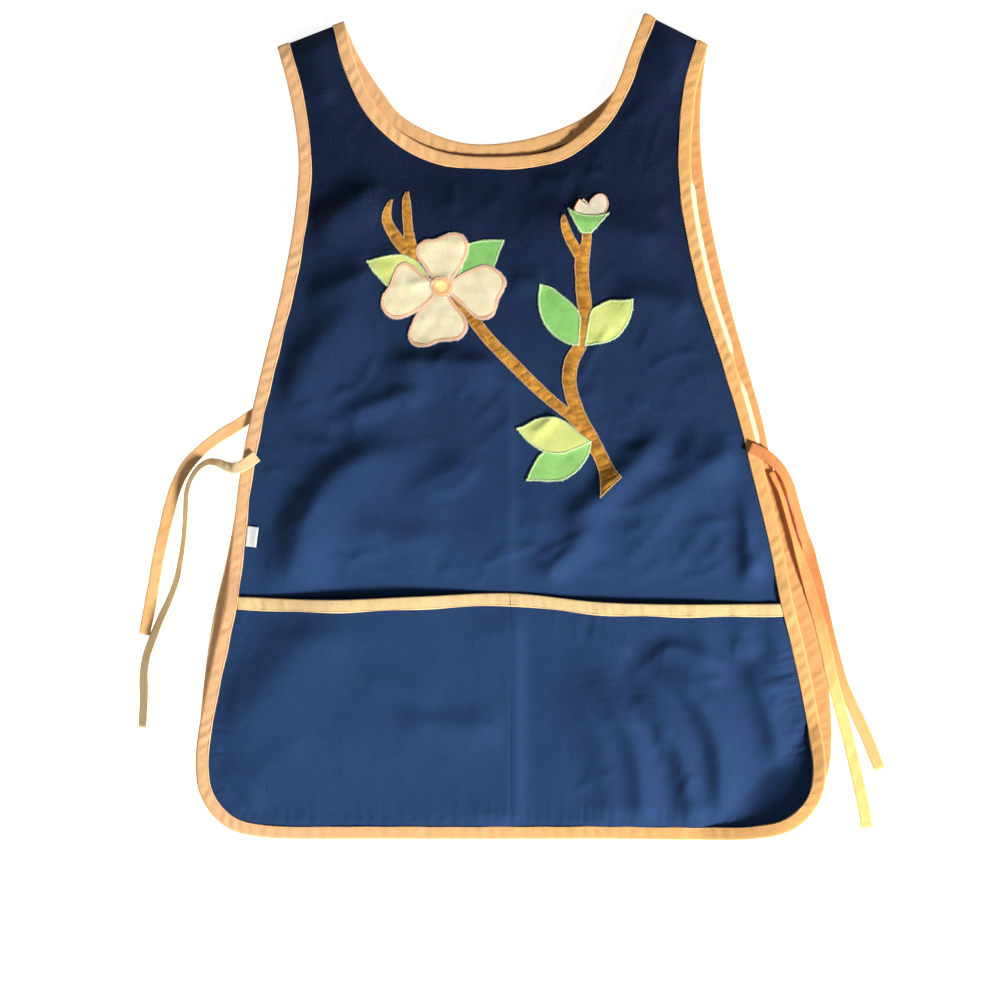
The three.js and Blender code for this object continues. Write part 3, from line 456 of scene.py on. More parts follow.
def smooth_line(knots, step, closed=False):
    """Evenly spaced points along a smooth curve through the knots."""
    points = np.asarray(knots, float)
    if closed:
        ring = np.vstack([points[-1:], points, points[:2]])
    else:
        ring = np.vstack([2 * points[0] - points[1], points, 2 * points[-1] - points[-2]])
    t = np.linspace(0, 1, KNOT_STEPS, endpoint=False)[:, None]
    runs = []
    for a, b, c, d in zip(ring, ring[1:], ring[2:], ring[3:]):
        before, span, after = (np.linalg.norm(q - p) ** 0.5 for p, q in ((a, b), (b, c), (c, d)))
        leave = (b - a) / before - (c - a) / (before + span) + (c - b) / span
        reach = (c - b) / span - (d - b) / (span + after) + (d - c) / after
        runs.append(
            (2 * t**3 - 3 * t**2 + 1) * b + (t**3 - 2 * t**2 + t) * leave * span
            + (3 * t**2 - 2 * t**3) * c + (t**3 - t**2) * reach * span
        )
    line = np.vstack([*runs, points[:1] if closed else points[-1:]])
    return respaced(line, max(3, round(line_length(line) / step) + 1))


def split_line(line, breaks, counts):
    """Points along a line with a set number of steps between the break points."""
    stops = [0] + [int(np.linalg.norm(line - np.asarray(b), axis=1).argmin()) for b in breaks]
    stops.append(len(line) - 1)
    spans = [respaced(line[a:b + 1], n + 1) for a, b, n in zip(stops, stops[1:], counts)]
    return np.vstack([spans[0], *[span[1:] for span in spans[1:]]])


def unit(vectors):
    return vectors / np.maximum(np.linalg.norm(vectors, axis=-1, keepdims=True), 1e-9)


def left_normals(line):
    """Unit vectors to the left of the way along a line in plan."""
    along = np.gradient(line, axis=0)
    return unit(np.column_stack([-along[:, 1], along[:, 0]]))


def smoothstep(value, low, high):
    t = np.clip((value - low) / (high - low), 0, 1)
    return t * t * (3 - 2 * t)


def wander(s, wavelength, seed):
    """A smooth random wave along a length, about one unit high."""
    draw = np.random.default_rng(seed)
    total = 0
    for _ in range(WANDER_WAVES):
        stretch = wavelength * draw.uniform(*WANDER_STRETCH)
        total = total + np.sin(2 * math.pi * s / stretch + draw.uniform(0, 2 * math.pi))
    return total / WANDER_SCALE


# Outlines of the panels

Shoulder = namedtuple("Shoulder", "axis forward outer inner")
Cells = namedtuple("Cells", "upper lower across strap")
Panel = namedtuple("Panel", "outer outer_in neck neck_in cells")
FRONT_CELLS = Cells(178, 24, 208, 24)
BACK_CELLS = Cells(90, 30, 110, 14)


def shoulder_line(outer, inner):
    """Where a strap starts to turn over the shoulder, so that the roll ends on the fold."""
    outer, inner = np.asarray(outer), np.asarray(inner)
    axis = unit(inner - outer)
    forward = np.array([-axis[1], axis[0]])
    forward = forward if forward[1] > 0 else -forward
    back = forward * SHOULDER_REACH
    return Shoulder(axis, forward, outer - back, inner - back)


shoulders = {side: shoulder_line(*ends) for side, ends in SHOULDERS.items()}
outer_ends = (shoulders["left"].axis, shoulders["right"].axis)
neck_ends = (-shoulders["right"].axis, -shoulders["left"].axis)


def inward_normals(line, ends):
    """Directions from an edge into its cloth, with those at its two ends given."""
    inward = left_normals(line)
    inward[0], inward[-1] = ends
    return inward


def panel(sides, hem, corners, neck, cells):
    """Edges of a panel with the directions into its cloth."""
    left, right = shoulders["left"], shoulders["right"]
    outer_knots = [
        left.outer, *[(x, y) for y, x, _ in sides], *hem,
        *[(x, y) for y, _, x in reversed(sides)], right.outer,
    ]
    breaks = [POCKET_MOUTH[0], *corners, POCKET_MOUTH[-1]]
    counts = [cells.upper, cells.lower, cells.across, cells.lower, cells.upper]
    outer = split_line(smooth_line(outer_knots, FINE_STEP), breaks, counts)
    neck_line = smooth_line([right.inner, *neck, left.inner], FINE_STEP)
    neck_line = respaced(neck_line, cells.across - 2 * cells.strap + 1)
    outer_in, neck_in = inward_normals(outer, outer_ends), inward_normals(neck_line, neck_ends)
    return Panel(outer, outer_in, neck_line, neck_in, cells)


front = panel(FRONT_SIDES, FRONT_HEM, FRONT_CORNERS, FRONT_NECK, FRONT_CELLS)
back = panel(BACK_SIDES, BACK_HEM, BACK_CORNERS, BACK_NECK, BACK_CELLS)


# Heights of the cloth

EDGE_STEP = 1.0
LIGHT_SIDE = np.array([0.77, -0.64])
FOLD_GAIN = 2.1
FOLD_STEP = 1.5
FOLD_REACH = 2.4
FOLD_TAPER = 0.3
FOLD_ROUNDING = 1.8


def edge_tree(lines):
    """The points of edges, to be searched for the nearest one."""
    points = np.vstack(lines)
    tree = KDTree(len(points))
    for k, (x, y) in enumerate(points):
        tree.insert((x, y, 0), k)
    tree.balance()
    return tree


front_edges = [respaced(line, round(line_length(line) / EDGE_STEP)) for line in (front.outer, front.neck)]
front_tree = edge_tree(front_edges)
mouth_line = smooth_line(POCKET_MOUTH, EDGE_STEP)
mouth_tree = edge_tree([mouth_line])


def nearest_edge(tree, x, y):
    """Distance from places to the nearest edge, and how far along the edge that is."""
    found = [tree.find((a, b, 0)) for a, b in zip(x, y)]
    return np.array([f[2] for f in found]), np.array([f[1] for f in found]) * EDGE_STEP


def ridges(folds, x, y):
    """Height of the folds at places in plan."""
    total = np.zeros(len(x))
    for fold in folds:
        line = smooth_line(fold.line, FOLD_STEP)
        toward = left_normals(line)
        toward = toward * np.sign((toward @ LIGHT_SIDE).mean())
        reach = FOLD_REACH * max(fold.lit, fold.shade)
        low, high = line.min(0) - reach, line.max(0) + reach
        near = np.flatnonzero((x > low[0]) & (x < high[0]) & (y > low[1]) & (y < high[1]))
        if not len(near):
            continue
        away = np.stack([x[near], y[near]], axis=1)[:, None, :] - line[None, :, :]
        distance = np.hypot(away[..., 0], away[..., 1])
        at = distance.argmin(1)
        rows = np.arange(len(near))
        lit = (away[rows, at] * toward[at]).sum(1) > 0
        width = np.where(lit, fold.lit, fold.shade)
        along = at / (len(line) - 1)
        taper = smoothstep(along, 0, FOLD_TAPER) * smoothstep(1 - along, 0, FOLD_TAPER)
        profile = np.exp(-((distance[rows, at] / width) ** FOLD_ROUNDING))
        total[near] += FOLD_GAIN * fold.height * taper * profile
    return total


def scattered_creases(count, low, high, slant, seed):
    """Short creases at random places in a box, most of them near one slant in degrees."""
    draw = np.random.default_rng(seed)
    creases = []
    for _ in range(count):
        middle = draw.uniform(low, high)
        turn = math.radians(draw.normal(slant, CREASE_TURN))
        half = np.array([math.cos(turn), math.sin(turn)]) * draw.uniform(*CREASE_LENGTH) / 2
        bow = np.array([-half[1], half[0]]) * draw.normal(0, CREASE_BOW)
        width = draw.uniform(*CREASE_WIDTH)
        line = [middle - half, middle + bow, middle + half]
        creases.append(Fold(draw.uniform(*CREASE_HEIGHT), width, width * draw.uniform(*CREASE_SHADE), line))
    return creases


front_creases = scattered_creases(count=150, low=(-230, -145), high=(220, 300), slant=20, seed=51)
pocket_creases = scattered_creases(count=24, low=(20, -360), high=(270, -165), slant=70, seed=52)


def waves(count, shortest, longest, seed):
    """Random waves in plan: their turns for each millimetre of x and y, and their phases."""
    draw = np.random.default_rng(seed)
    length = draw.uniform(shortest, longest, count)
    turn = draw.uniform(0, math.pi, count)
    return np.cos(turn) / length, np.sin(turn) / length, draw.uniform(0, 1, count)


BROAD_WAVES = waves(count=26, shortest=38, longest=120, seed=11)
FINE_WAVES = waves(count=30, shortest=12, longest=30, seed=12)


def ripple_field(fields, x, y):
    """Sum of random waves at places in plan, about one unit high."""
    kx, ky, phase = fields
    turns = x[:, None] * kx + y[:, None] * ky + phase
    return np.sin(2 * math.pi * turns).sum(1) / math.sqrt(len(kx))


def ripples(broad, x, y):
    """Broad ripples of a given height, with the fine ones over them."""
    return broad * ripple_field(BROAD_WAVES, x, y) + FINE_RIPPLE * ripple_field(FINE_WAVES, x, y)


def gathers(gather, distance, along):
    """Small puckers beside a stitched edge."""
    fade = np.exp(-np.maximum(distance - gather.hold, 0) / gather.fade)
    share = fade * smoothstep(distance, *gather.start)
    return gather.height * wander(along, gather.wavelength, gather.seed) * share


def corner_curl(x, y):
    """Rise of the lower right corner, steeper and steeper beyond its line."""
    (x0, y0), (x1, y1) = CURL_LINE
    run, rise = x1 - x0, y1 - y0
    beyond = np.maximum((x - x0) * rise - (y - y0) * run, 0) / math.hypot(run, rise)
    return CURL_SLOPE * beyond**2 / (beyond + CURL_BEND)


def front_edge_level(x, y):
    """Height of the front along its edges, with its drops and the curl of its corner."""
    level = FRONT_LOW + CHEST_RISE * smoothstep(y, *CHEST_RUN)
    for shoulder, sign in ((shoulders["left"], -1), (shoulders["right"], 1)):
        dx, dy = x - shoulder.outer[0], y - shoulder.outer[1]
        short_of_turn = -(dx * shoulder.forward[0] + dy * shoulder.forward[1])
        drop = SHOULDER_DROP * (1 - np.clip(short_of_turn / SHOULDER_RUN, 0, 1)) ** 2
        level = level - np.where(x * sign > 0, drop, 0)
    at_neck = smoothstep(y, *NECK_RUN) * (1 - smoothstep(np.abs(x - NECK_MIDDLE), *NECK_SPREAD))
    return level - NECK_DROP * at_neck + corner_curl(x, y)


def front_height(x, y):
    """Height of the middle of the front cloth."""
    x, y = np.asarray(x, float), np.asarray(y, float)
    distance, along = nearest_edge(front_tree, x, y)
    open_cloth = smoothstep(distance, EDGE_MARGIN, EDGE_MARGIN + LOFT_RUN)
    fold_share = smoothstep(distance, EDGE_MARGIN, EDGE_MARGIN + FOLD_RUN)
    above_mouth = smoothstep(y, *MOUTH_EASE)
    lift = FRONT_LOFT * open_cloth * smoothstep(y, MOUTH_LEVEL, MOUTH_LEVEL + LOFT_RUN)
    folds = ridges(FRONT_FOLDS + front_creases, x, y) + ripples(FRONT_RIPPLE, x, y)
    puckers = gathers(FRONT_GATHER, distance, along)
    return front_edge_level(x, y) + lift + above_mouth * (fold_share * folds + puckers)


def pocket_seat(y):
    """Height of the pocket over the front, more where the mouth's tape lies between them."""
    return POCKET_SEAT + (POCKET_MOUTH_SEAT - POCKET_SEAT) * smoothstep(y, *SEAT_RUN)


def divide_crest(aside):
    """Height of the crest beside the pocket's middle seam, less the groove of its stitches."""
    beyond = aside - CREST_ASIDE
    crest = CREST_HEIGHT * np.exp(-((beyond / np.where(beyond > 0, CREST_RIGHT, CREST_LEFT)) ** 2))
    return crest - GROOVE_DEPTH * np.exp(-((aside / GROOVE_WIDTH) ** 2))


def at_least(least, share):
    """A share from a least value to one."""
    return least + (1 - least) * share


def pocket_height(x, y):
    """Height of the middle of the pocket cloth."""
    x, y = np.asarray(x, float), np.asarray(y, float)
    distance, along = nearest_edge(front_tree, x, y)
    from_mouth, mouth_along = nearest_edge(mouth_tree, x, y)
    aside = x - CENTRE_STITCH
    from_centre = np.abs(aside)
    gape = POCKET_GAPE * (1 - RIGHT_LOSS * smoothstep(aside, -CENTRE_RUN, CENTRE_RUN))
    gape = gape * smoothstep(from_centre, *GAPE_FROM_CENTRE) * smoothstep(distance, *GAPE_FROM_EDGE)
    crest_share = smoothstep(from_mouth, *CREST_FROM_MOUTH) * smoothstep(distance, *CREST_FROM_EDGE)
    crest = divide_crest(aside) * crest_share
    fold_share = smoothstep(distance, *FOLDS_FROM_EDGE) * smoothstep(from_centre, *FOLDS_FROM_CENTRE)
    fold_share = fold_share * at_least(MOUTH_FOLDS, smoothstep(from_mouth, *FOLDS_FROM_MOUTH))
    ripple = np.maximum(ripples(POCKET_RIPPLE, x, y), DEEPEST_DIP)
    folds = fold_share * (ridges(POCKET_FOLDS + pocket_creases, x, y) + ripple)
    mouth_share = at_least(LEFT_GATHERS, smoothstep(x, *GATHERS_TO_RIGHT))
    mouth_share = mouth_share * smoothstep(from_centre, *GATHERS_FROM_CENTRE)
    puckers = mouth_share * np.abs(gathers(MOUTH_GATHER, from_mouth, mouth_along))
    puckers = puckers + np.abs(gathers(POCKET_GATHER, distance, along))
    return FRONT_LOW + corner_curl(x, y) + pocket_seat(y) + gape + crest + folds + puckers


# Meshes

def add_piece(name, body, material):
    """A piece from points in millimetres and faces, riding with the apron."""
    points, faces = body
    mesh = bpy.data.meshes.new(name)
    mesh.from_pydata((points * MM).tolist(), [], faces.tolist() if isinstance(faces, np.ndarray) else faces)
    mesh.polygons.foreach_set("use_smooth", [True] * len(mesh.polygons))
    mesh.materials.append(material)
    mesh.update()
    piece = bpy.data.objects.new(name, mesh)
    bpy.context.scene.collection.objects.link(piece)
    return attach(piece, "root")


def vertex_normals(points, cells):
    """Average normal at each point of a sheet made of quads."""
    across = points[cells[:, 2]] - points[cells[:, 0]]
    other = points[cells[:, 3]] - points[cells[:, 1]]
    face = np.cross(across, other)
    total = np.zeros_like(points)
    for k in range(4):
        np.add.at(total, cells[:, k], face)
    return unit(total)


def shell(middle, cells, thickness):
    """A closed sheet about its middle points."""
    normal = vertex_normals(middle, cells)
    count = len(middle)
    edges = np.vstack([cells[:, [k, (k + 1) % 4]] for k in range(4)])
    _, first, times = np.unique(np.sort(edges, axis=1), axis=0, return_index=True, return_counts=True)
    rim = edges[first[times == 1]]
    sides = np.column_stack([rim[:, 1], rim[:, 0], rim[:, 0] + count, rim[:, 1] + count])
    points = np.vstack([middle + normal * thickness / 2, middle - normal * thickness / 2])
    return points, np.vstack([cells, cells[:, ::-1] + count, sides])


def grid_cells(rows, columns, first=0):
    start = first + np.arange(rows - 1)[:, None] * columns + np.arange(columns - 1)[None, :]
    start = start.ravel()
    return np.column_stack([start, start + 1, start + columns + 1, start + columns])


def blend_edges(bottom, right, top, left):
    """Places between four edges, blended from opposite pairs."""
    along = lengths_along(left)
    up = (along / along[-1])[:, None, None]
    over = np.linspace(0, 1, len(bottom))[None, :, None]
    lengthwise = bottom[None] * (1 - up) + top[None] * up
    crosswise = left[:, None] * (1 - over) + right[:, None] * over
    low = bottom[0] * (1 - over) + bottom[-1] * over
    high = top[0] * (1 - over) + top[-1] * over
    return lengthwise + crosswise - (low * (1 - up) + high * up)


def panel_places(edges):
    """Grid of places of a panel, from hem to shoulders."""
    upper, lower, across, strap = edges.cells
    cut = edges.outer + edges.outer_in * INSET
    neck = (edges.neck + edges.neck_in * INSET)[::-1]
    side = upper + lower
    left, bottom, right = cut[side::-1], cut[side:side + across + 1], cut[side + across:]
    share = (np.arange(strap) / strap)[:, None]
    left_strap = left[-1] + (neck[0] - left[-1]) * share
    right_strap = (right[-1] + (neck[-1] - right[-1]) * share)[::-1]
    return blend_edges(bottom, right, np.vstack([left_strap, neck, right_strap]), left)


def shoulder_turn(places, forward, step):
    """Middle points and normals at a step of the turn over a shoulder."""
    angle = math.pi * step / SHOULDER_STEPS
    normal = np.append(forward * math.sin(angle), math.cos(angle))
    flat = np.column_stack([places[:, :2], np.full(len(places), SHOULDER_LEVEL)])
    return flat + normal * SHOULDER_RADIUS, normal


def laid_grid(places, height):
    flat = places.reshape(-1, 2)
    return np.column_stack([flat, height(flat[:, 0], flat[:, 1])])


def front_cloth():
    places = panel_places(front)
    rows, columns = places.shape[:2]
    points = [laid_grid(places, front_height)]
    cells = [grid_cells(rows, columns)]
    strap = front.cells[3]
    total = rows * columns
    for first, side in ((0, "left"), (columns - 1 - strap, "right")):
        lower = (rows - 1) * columns + first + np.arange(strap + 1)
        base = points[0][lower]
        for step in range(1, SHOULDER_STEPS + 1):
            points.append(shoulder_turn(base, shoulders[side].forward, step)[0])
            higher = total + np.arange(strap + 1)
            total += strap + 1
            cells.append(np.column_stack([lower[:-1], lower[1:], higher[1:], higher[:-1]]))
            lower = higher
    return shell(np.vstack(points), np.vstack(cells), CLOTH)


def back_height(x, y):
    """Height of the middle of the back cloth."""
    distance, _ = nearest_edge(front_tree, x, y)
    broad = BACK_RIPPLE * ripple_field(BROAD_WAVES, x, y)
    return BACK_LEVEL + smoothstep(distance, *BACK_RUN) * np.clip(broad, *BACK_LIMITS)


def back_cloth():
    places = panel_places(back)
    points = laid_grid(places, back_height)
    return shell(points, grid_cells(*places.shape[:2]), CLOTH)


POCKET_ROWS = 96


def pocket_places():
    """Grid of places of the pocket, from hem to mouth."""
    upper, lower, across, _ = front.cells
    cut = front.outer + front.outer_in * INSET
    left = respaced(cut[upper:upper + lower + 1][::-1], POCKET_ROWS)
    right = respaced(cut[upper + lower + across:upper + 2 * lower + across + 1], POCKET_ROWS)
    bottom = cut[upper + lower:upper + lower + across + 1]
    lowered = respaced(mouth_line, across - 1) - [0, INSET]
    return blend_edges(bottom, right, np.vstack([left[-1], lowered, right[-1]]), left)


def pocket_cloth():
    places = pocket_places()
    return shell(laid_grid(places, pocket_height), grid_cells(*places.shape[:2]), CLOTH)


# Bindings

Stations = namedtuple("Stations", "origin inward up")
BINDING_STEP = 2.2
FACE_POINTS = 8
FOLD_POINTS = 7

# Ripples across the tape: heights and wavelengths, their slant, the puff of the face and the sway of its edge
TAPE_RIPPLES = ((0.28, 8.5), (0.18, 19.0))
TAPE_SLANT = 6.0
TAPE_PUFF = 0.18
TAPE_SWAY = 0.35
SWAY_LENGTH = 55.0
SWAY_DEPTH = 0.6
# How far the fold stands out before its paler colour, part wear and part painted highlight, comes in, and
# where it is full
WEAR_HIGHLIGHT_RUN = (0.6, 2.0)


def tape_contour(half_low, half_high, overlap):
    """Middle line of the folded tape: from the lower inner edge round the fold to the upper one."""
    low = half_low + TAPE / 2
    high = half_high + TAPE / 2
    radius = (low + high) / 2
    below = np.linspace(BINDING_WIDTH - TAPE / 2, radius, FACE_POINTS, endpoint=False)
    over = np.linspace(BINDING_WIDTH + overlap - TAPE / 2, radius, FACE_POINTS, endpoint=False)
    turn = np.linspace(-math.pi / 2, math.pi / 2, FOLD_POINTS)
    fold = np.column_stack([radius - radius * np.cos(turn), (high - low) / 2 + radius * np.sin(turn)])
    lower_face = np.column_stack([below, np.full(FACE_POINTS, -low)])
    upper_face = np.column_stack([over[::-1], np.full(FACE_POINTS, high)])
    return np.vstack([lower_face, fold, upper_face])


def tape_section(contour):
    """Closed section about a middle line, with rounded ends."""
    along = unit(np.gradient(contour, axis=0))
    across = np.column_stack([along[:, 1], -along[:, 0]]) * TAPE / 2
    tip_low = contour[0] - along[0] * TAPE / 2
    tip_high = contour[-1] + along[-1] * TAPE / 2
    return np.vstack([tip_low, contour + across, tip_high, (contour - across)[::-1]])


def sweep(stations, sections):
    """A closed body from sections carried along stations."""
    count, sides = sections.shape[:2]
    points = (
        stations.origin[:, None]
        + sections[..., :1] * stations.inward[:, None]
        + sections[..., 1:] * stations.up[:, None]
    ).reshape(-1, 3)
    ring = np.arange(sides)
    start = (np.arange(count - 1)[:, None] * sides + ring).ravel()
    after = (np.arange(count - 1)[:, None] * sides + (ring + 1) % sides).ravel()
    faces = np.column_stack([start, after, after + sides, start + sides]).tolist()
    faces.append(ring[::-1].tolist())
    faces.append((ring + (count - 1) * sides).tolist())
    return points, faces


def fold_lips(stations, lips):
    """How far the tape's fold stands out and falls at each station, on the right side."""
    x, y = stations.origin[:, 0], stations.origin[:, 1]
    total = np.zeros((len(x), 2))
    for lip in lips:
        share = smoothstep(y, lip.low, lip.low + LIP_EASE) * smoothstep(-y, -lip.high, LIP_EASE - lip.high)
        total += np.where(x > 0, share, 0)[:, None] * [lip.out, lip.fall]
    return total


def binding_body(stations, upper_slots, overlap, lips, seed):
    """Folded tape along an edge, with the small slanting ripples of stitched bias tape."""
    sections = []
    for at, slot, lip in zip(lengths_along(stations.origin), upper_slots, fold_lips(stations, lips)):
        contour = tape_contour(HALF_SLOT, slot, overlap)
        depth = contour[:, 0] / (BINDING_WIDTH + overlap)
        body = np.sin(math.pi * np.clip(depth, 0.02, 0.98))
        slant = at + TAPE_SLANT * depth
        ripple = sum(height * wander(slant, wave, seed + k) for k, (height, wave) in enumerate(TAPE_RIPPLES))
        contour[:, 1] += np.where(contour[:, 1] > 0, TAPE_PUFF + ripple, 0) * body
        contour[:, 0] += TAPE_SWAY * wander(at, SWAY_LENGTH, seed + 2) * (depth > SWAY_DEPTH)
        contour = contour - lip * np.clip(1 - contour[:, :1] / LIP_ROOT, 0, 1)
        sections.append(tape_section(contour))
    return sweep(stations, np.array(sections))


def fold_wear_and_highlight(stations, lips):
    """Share of the fold's paler colour at each point of a tape, part wear and part painted highlight: full
    over the fold where it stands out.
    """
    share = smoothstep(fold_lips(stations, lips)[:, 0], *WEAR_HIGHLIGHT_RUN)
    contour = tape_contour(HALF_SLOT, HALF_SLOT, 0)
    over_fold = (contour[:, 0] < LIP_ROOT) & (contour[:, 1] > -TAPE / 4)
    ring = np.concatenate([[False], over_fold, [False], over_fold[::-1]])
    return np.outer(share, ring).ravel()


def level_stations(edge, inward, level):
    """Stations along an edge whose height is given by a function."""
    origin = np.column_stack([edge, level(*edge.T)])
    flat_in = np.column_stack([inward, np.zeros(len(inward))])
    return Stations(origin, flat_in, np.tile(UP, (len(edge), 1)))


def over_shoulders(edge, inward, start, end):
    """Stations of a front edge that runs on over both shoulders."""
    middle = level_stations(edge, inward, front_edge_level)

    def turn(k, side):
        steps = [
            shoulder_turn(middle.origin[[k]], shoulders[side].forward, step)
            for step in range(1, SHOULDER_STEPS + 1)
        ]
        origin = np.vstack([places for places, _ in steps])
        return Stations(origin, np.tile(middle.inward[k], (len(steps), 1)), np.array([n for _, n in steps]))

    first, last = turn(0, start), turn(-1, end)
    return Stations(*[np.vstack([a[::-1], b, c]) for a, b, c in zip(first, middle, last)])


def fine_edge(edge):
    return respaced(edge, round(line_length(edge) / BINDING_STEP) + 1)


def front_edge_binding():
    """Stations and slots of the front's outer tape, which opens to grip the pocket too."""
    line = fine_edge(front.outer)
    stations = over_shoulders(line, inward_normals(line, outer_ends), "left", "right")
    y = stations.origin[:, 1]
    slots = HALF_SLOT + pocket_seat(y) * (1 - smoothstep(y, *GRIP_RUN))
    return stations, slots + MOUTH_BULGE * np.exp(-(((y - BULGE_LEVEL) / BULGE_WIDTH) ** 2))


def front_neck_binding():
    """Stations and slots of the front's neck tape."""
    line = fine_edge(front.neck)
    stations = over_shoulders(line, inward_normals(line, neck_ends), "right", "left")
    return stations, np.full(len(stations.origin), HALF_SLOT)


def back_binding(edge, ends):
    """Stations and slots of a tape along an edge of the back."""
    line = fine_edge(edge)
    stations = level_stations(line, inward_normals(line, ends), lambda x, y: np.full(len(y), BACK_LEVEL))
    return stations, np.full(len(line), HALF_SLOT)


def pocket_mouth_binding():
    """Stations and slots of the mouth's tape, which slopes with the cloth below it."""
    line = fine_edge(mouth_line)[::-1]
    inward = left_normals(line)
    top = np.column_stack([line, pocket_height(line[:, 0], line[:, 1] - INSET)])
    below = line + inward * BINDING_WIDTH
    fall = np.column_stack([below, pocket_height(below[:, 0], below[:, 1])]) - top
    slope = unit(fall)
    along = unit(np.gradient(top, axis=0))
    up = unit(np.cross(along, slope))
    up = up * np.sign(up[:, 2:])
    return Stations(top, slope, up), np.full(len(line), HALF_SLOT)


# Threads

THREAD_SIDES = 4
THREAD_TIP = 0.55
STITCH_RADIUS = 0.24
STITCH_HEIGHT = 0.16
STITCH_PARTS = 10
STITCH_RISE = np.array([-0.5, 0.7, 1.0, 0.7, -0.5])


def threads(paths, radius):
    """Closed four-sided threads along many short paths, all with as many points."""
    many, count = paths.shape[:2]
    along = unit(np.gradient(paths, axis=1))
    side = unit(np.cross(along, UP))
    top = np.cross(side, along)
    taper = np.ones(count)
    taper[[0, -1]] = THREAD_TIP
    ring = np.arange(THREAD_SIDES)
    turn = (ring + 0.5) * 2 * math.pi / THREAD_SIDES
    around = side[:, :, None] * np.cos(turn)[:, None] + top[:, :, None] * np.sin(turn)[:, None]
    points = paths[:, :, None] + around * (radius * taper)[None, :, None, None]
    first = np.arange(many)[:, None] * count * THREAD_SIDES
    start = first[:, :, None] + np.arange(count - 1)[None, :, None] * THREAD_SIDES
    a, b = (start + ring).ravel(), (start + (ring + 1) % THREAD_SIDES).ravel()
    walls = np.column_stack([b, a, a + THREAD_SIDES, b + THREAD_SIDES])
    last = first + (count - 1) * THREAD_SIDES
    caps = np.vstack([first + ring, last + ring[::-1]])
    return points.reshape(-1, 3), np.vstack([walls, caps])


def seam(line, pitch, lift):
    """Running stitches along a line that lies on a surface."""
    count = max(2, int(line_length(line) / pitch))
    stops = respaced(line, count * STITCH_PARTS + 1)
    picks = np.arange(count)[:, None] * STITCH_PARTS + np.arange(1, STITCH_PARTS, 2)
    return threads(stops[picks] + (STITCH_RISE * lift)[None, :, None] * UP, STITCH_RADIUS)


def joined(bodies):
    """Many bodies as one."""
    points, faces, total = [], [], 0
    for body_points, body_faces in bodies:
        points.append(body_points)
        faces.append(np.asarray(body_faces) + total)
        total += len(body_points)
    return np.vstack(points), np.vstack(faces)


def stitch_line(stations, slots, inset):
    """Where a tape's stitches run: over its upper face, inset from its inner edge."""
    rise = (slots + TAPE + STITCH_HEIGHT)[:, None]
    return stations.origin + stations.inward * (BINDING_WIDTH - inset) + stations.up * rise


# Applique

# Patches: the step between layers, the puff and dimples of their cloth, and the rings of their mesh
PATCH_PLAY = 0.2
PATCH_LIFT = CLOTH / 2 + PATCH_PLAY
LAYER_STEP = 0.45
PATCH_PUFF = 0.2
PUFF_ROUNDING = 6
PATCH_UNDER = 0.3
PLAIN_DIMPLE = 0.1
DIMPLES = {"petal": 0.3, "bud": 0.2}
OUTLINE_STEP = 1.6
PATCH_RINGS = (1.0, 0.97, 0.92, 0.84, 0.75, 0.66, 0.56, 0.46, 0.36, 0.26, 0.16, 0.07)

# Satin stitches: four points of each thread and their rise, with a slant and a scatter
SATIN_PITCH = 0.62
SATIN_RADIUS = 0.26
SATIN_SHARES = np.array([0.0, 0.35, 0.72, 1.0])
SATIN_RISE = np.array([0.08, 0.26, 0.24, 0.08])
SATIN_SLANT = 0.35
SATIN_JITTER = 0.12
SATIN_SCATTER = 0.08
SATIN_FOOT = 0.05


def patch_base(x, y, layer):
    """Height of the underside of a layer of applique."""
    return front_height(x, y) + PATCH_LIFT + LAYER_STEP * layer


def patch_outline(patch, step):
    """Closed outline of a patch, smooth between its corners."""
    if len(patch.runs) == 1:
        return smooth_line(patch.runs[0], step, closed=True)
    following = [*patch.runs[1:], patch.runs[0]]
    lines = [smooth_line([*run, after[0]], step) for run, after in zip(patch.runs, following)]
    return np.vstack([lines[0], *[line[1:] for line in lines[1:]]])


def patch_body(patch, seed):
    """A soft patch over the front: rings from its outline to its middle, closed underneath."""
    outline = patch_outline(patch, OUTLINE_STEP)[:-1]
    if signed_area(outline) < 0:
        outline = outline[::-1]
    middle = outline.mean(0)
    around = len(outline)
    rings = [middle + (outline - middle) * share for share in PATCH_RINGS]
    places = np.vstack([*rings, middle])
    share = np.concatenate([np.repeat(PATCH_RINGS, around), [0.0]])
    dents = ripple_field(waves(count=12, shortest=12, longest=30, seed=seed), *places.T)
    dimples = DIMPLES.get(patch.cloth, PLAIN_DIMPLE) * (1 + dents / 2)
    puff = (PATCH_PUFF + dimples) * (1 - share**PUFF_ROUNDING)
    base = patch_base(*places.T, patch.layer)
    points = np.vstack([np.column_stack([places, z]) for z in (base + puff, base - PATCH_UNDER)])
    ring = np.arange(around)
    after = (ring + 1) % around
    upper = []
    for k in range(len(PATCH_RINGS) - 1):
        out, into = k * around, (k + 1) * around
        upper += np.column_stack([out + ring, out + after, into + after, into + ring]).tolist()
    core = (len(PATCH_RINGS) - 1) * around
    upper += np.column_stack([core + ring, core + after, np.full(around, len(places) - 1)]).tolist()
    lower = [[k + len(places) for k in reversed(face)] for face in upper]
    rim = np.column_stack([ring + len(places), after + len(places), after, ring]).tolist()
    return points, upper + lower + rim


def signed_area(outline):
    """Area within a closed outline, positive where it runs anticlockwise."""
    after = np.roll(outline, -1, axis=0)
    return 0.5 * float((outline[:, 0] * after[:, 1] - after[:, 0] * outline[:, 1]).sum())


def inside(places, outline):
    """Which places lie within a closed outline."""
    x, y = places[:, :1], places[:, 1:]
    x0, y0 = outline.T
    x1, y1 = np.roll(outline, -1, axis=0).T
    rise = np.where(y1 == y0, 1e-9, y1 - y0)
    crossed = ((y0 > y) != (y1 > y)) & (x < x0 + (x1 - x0) * (y - y0) / rise)
    return crossed.sum(1) % 2 == 1


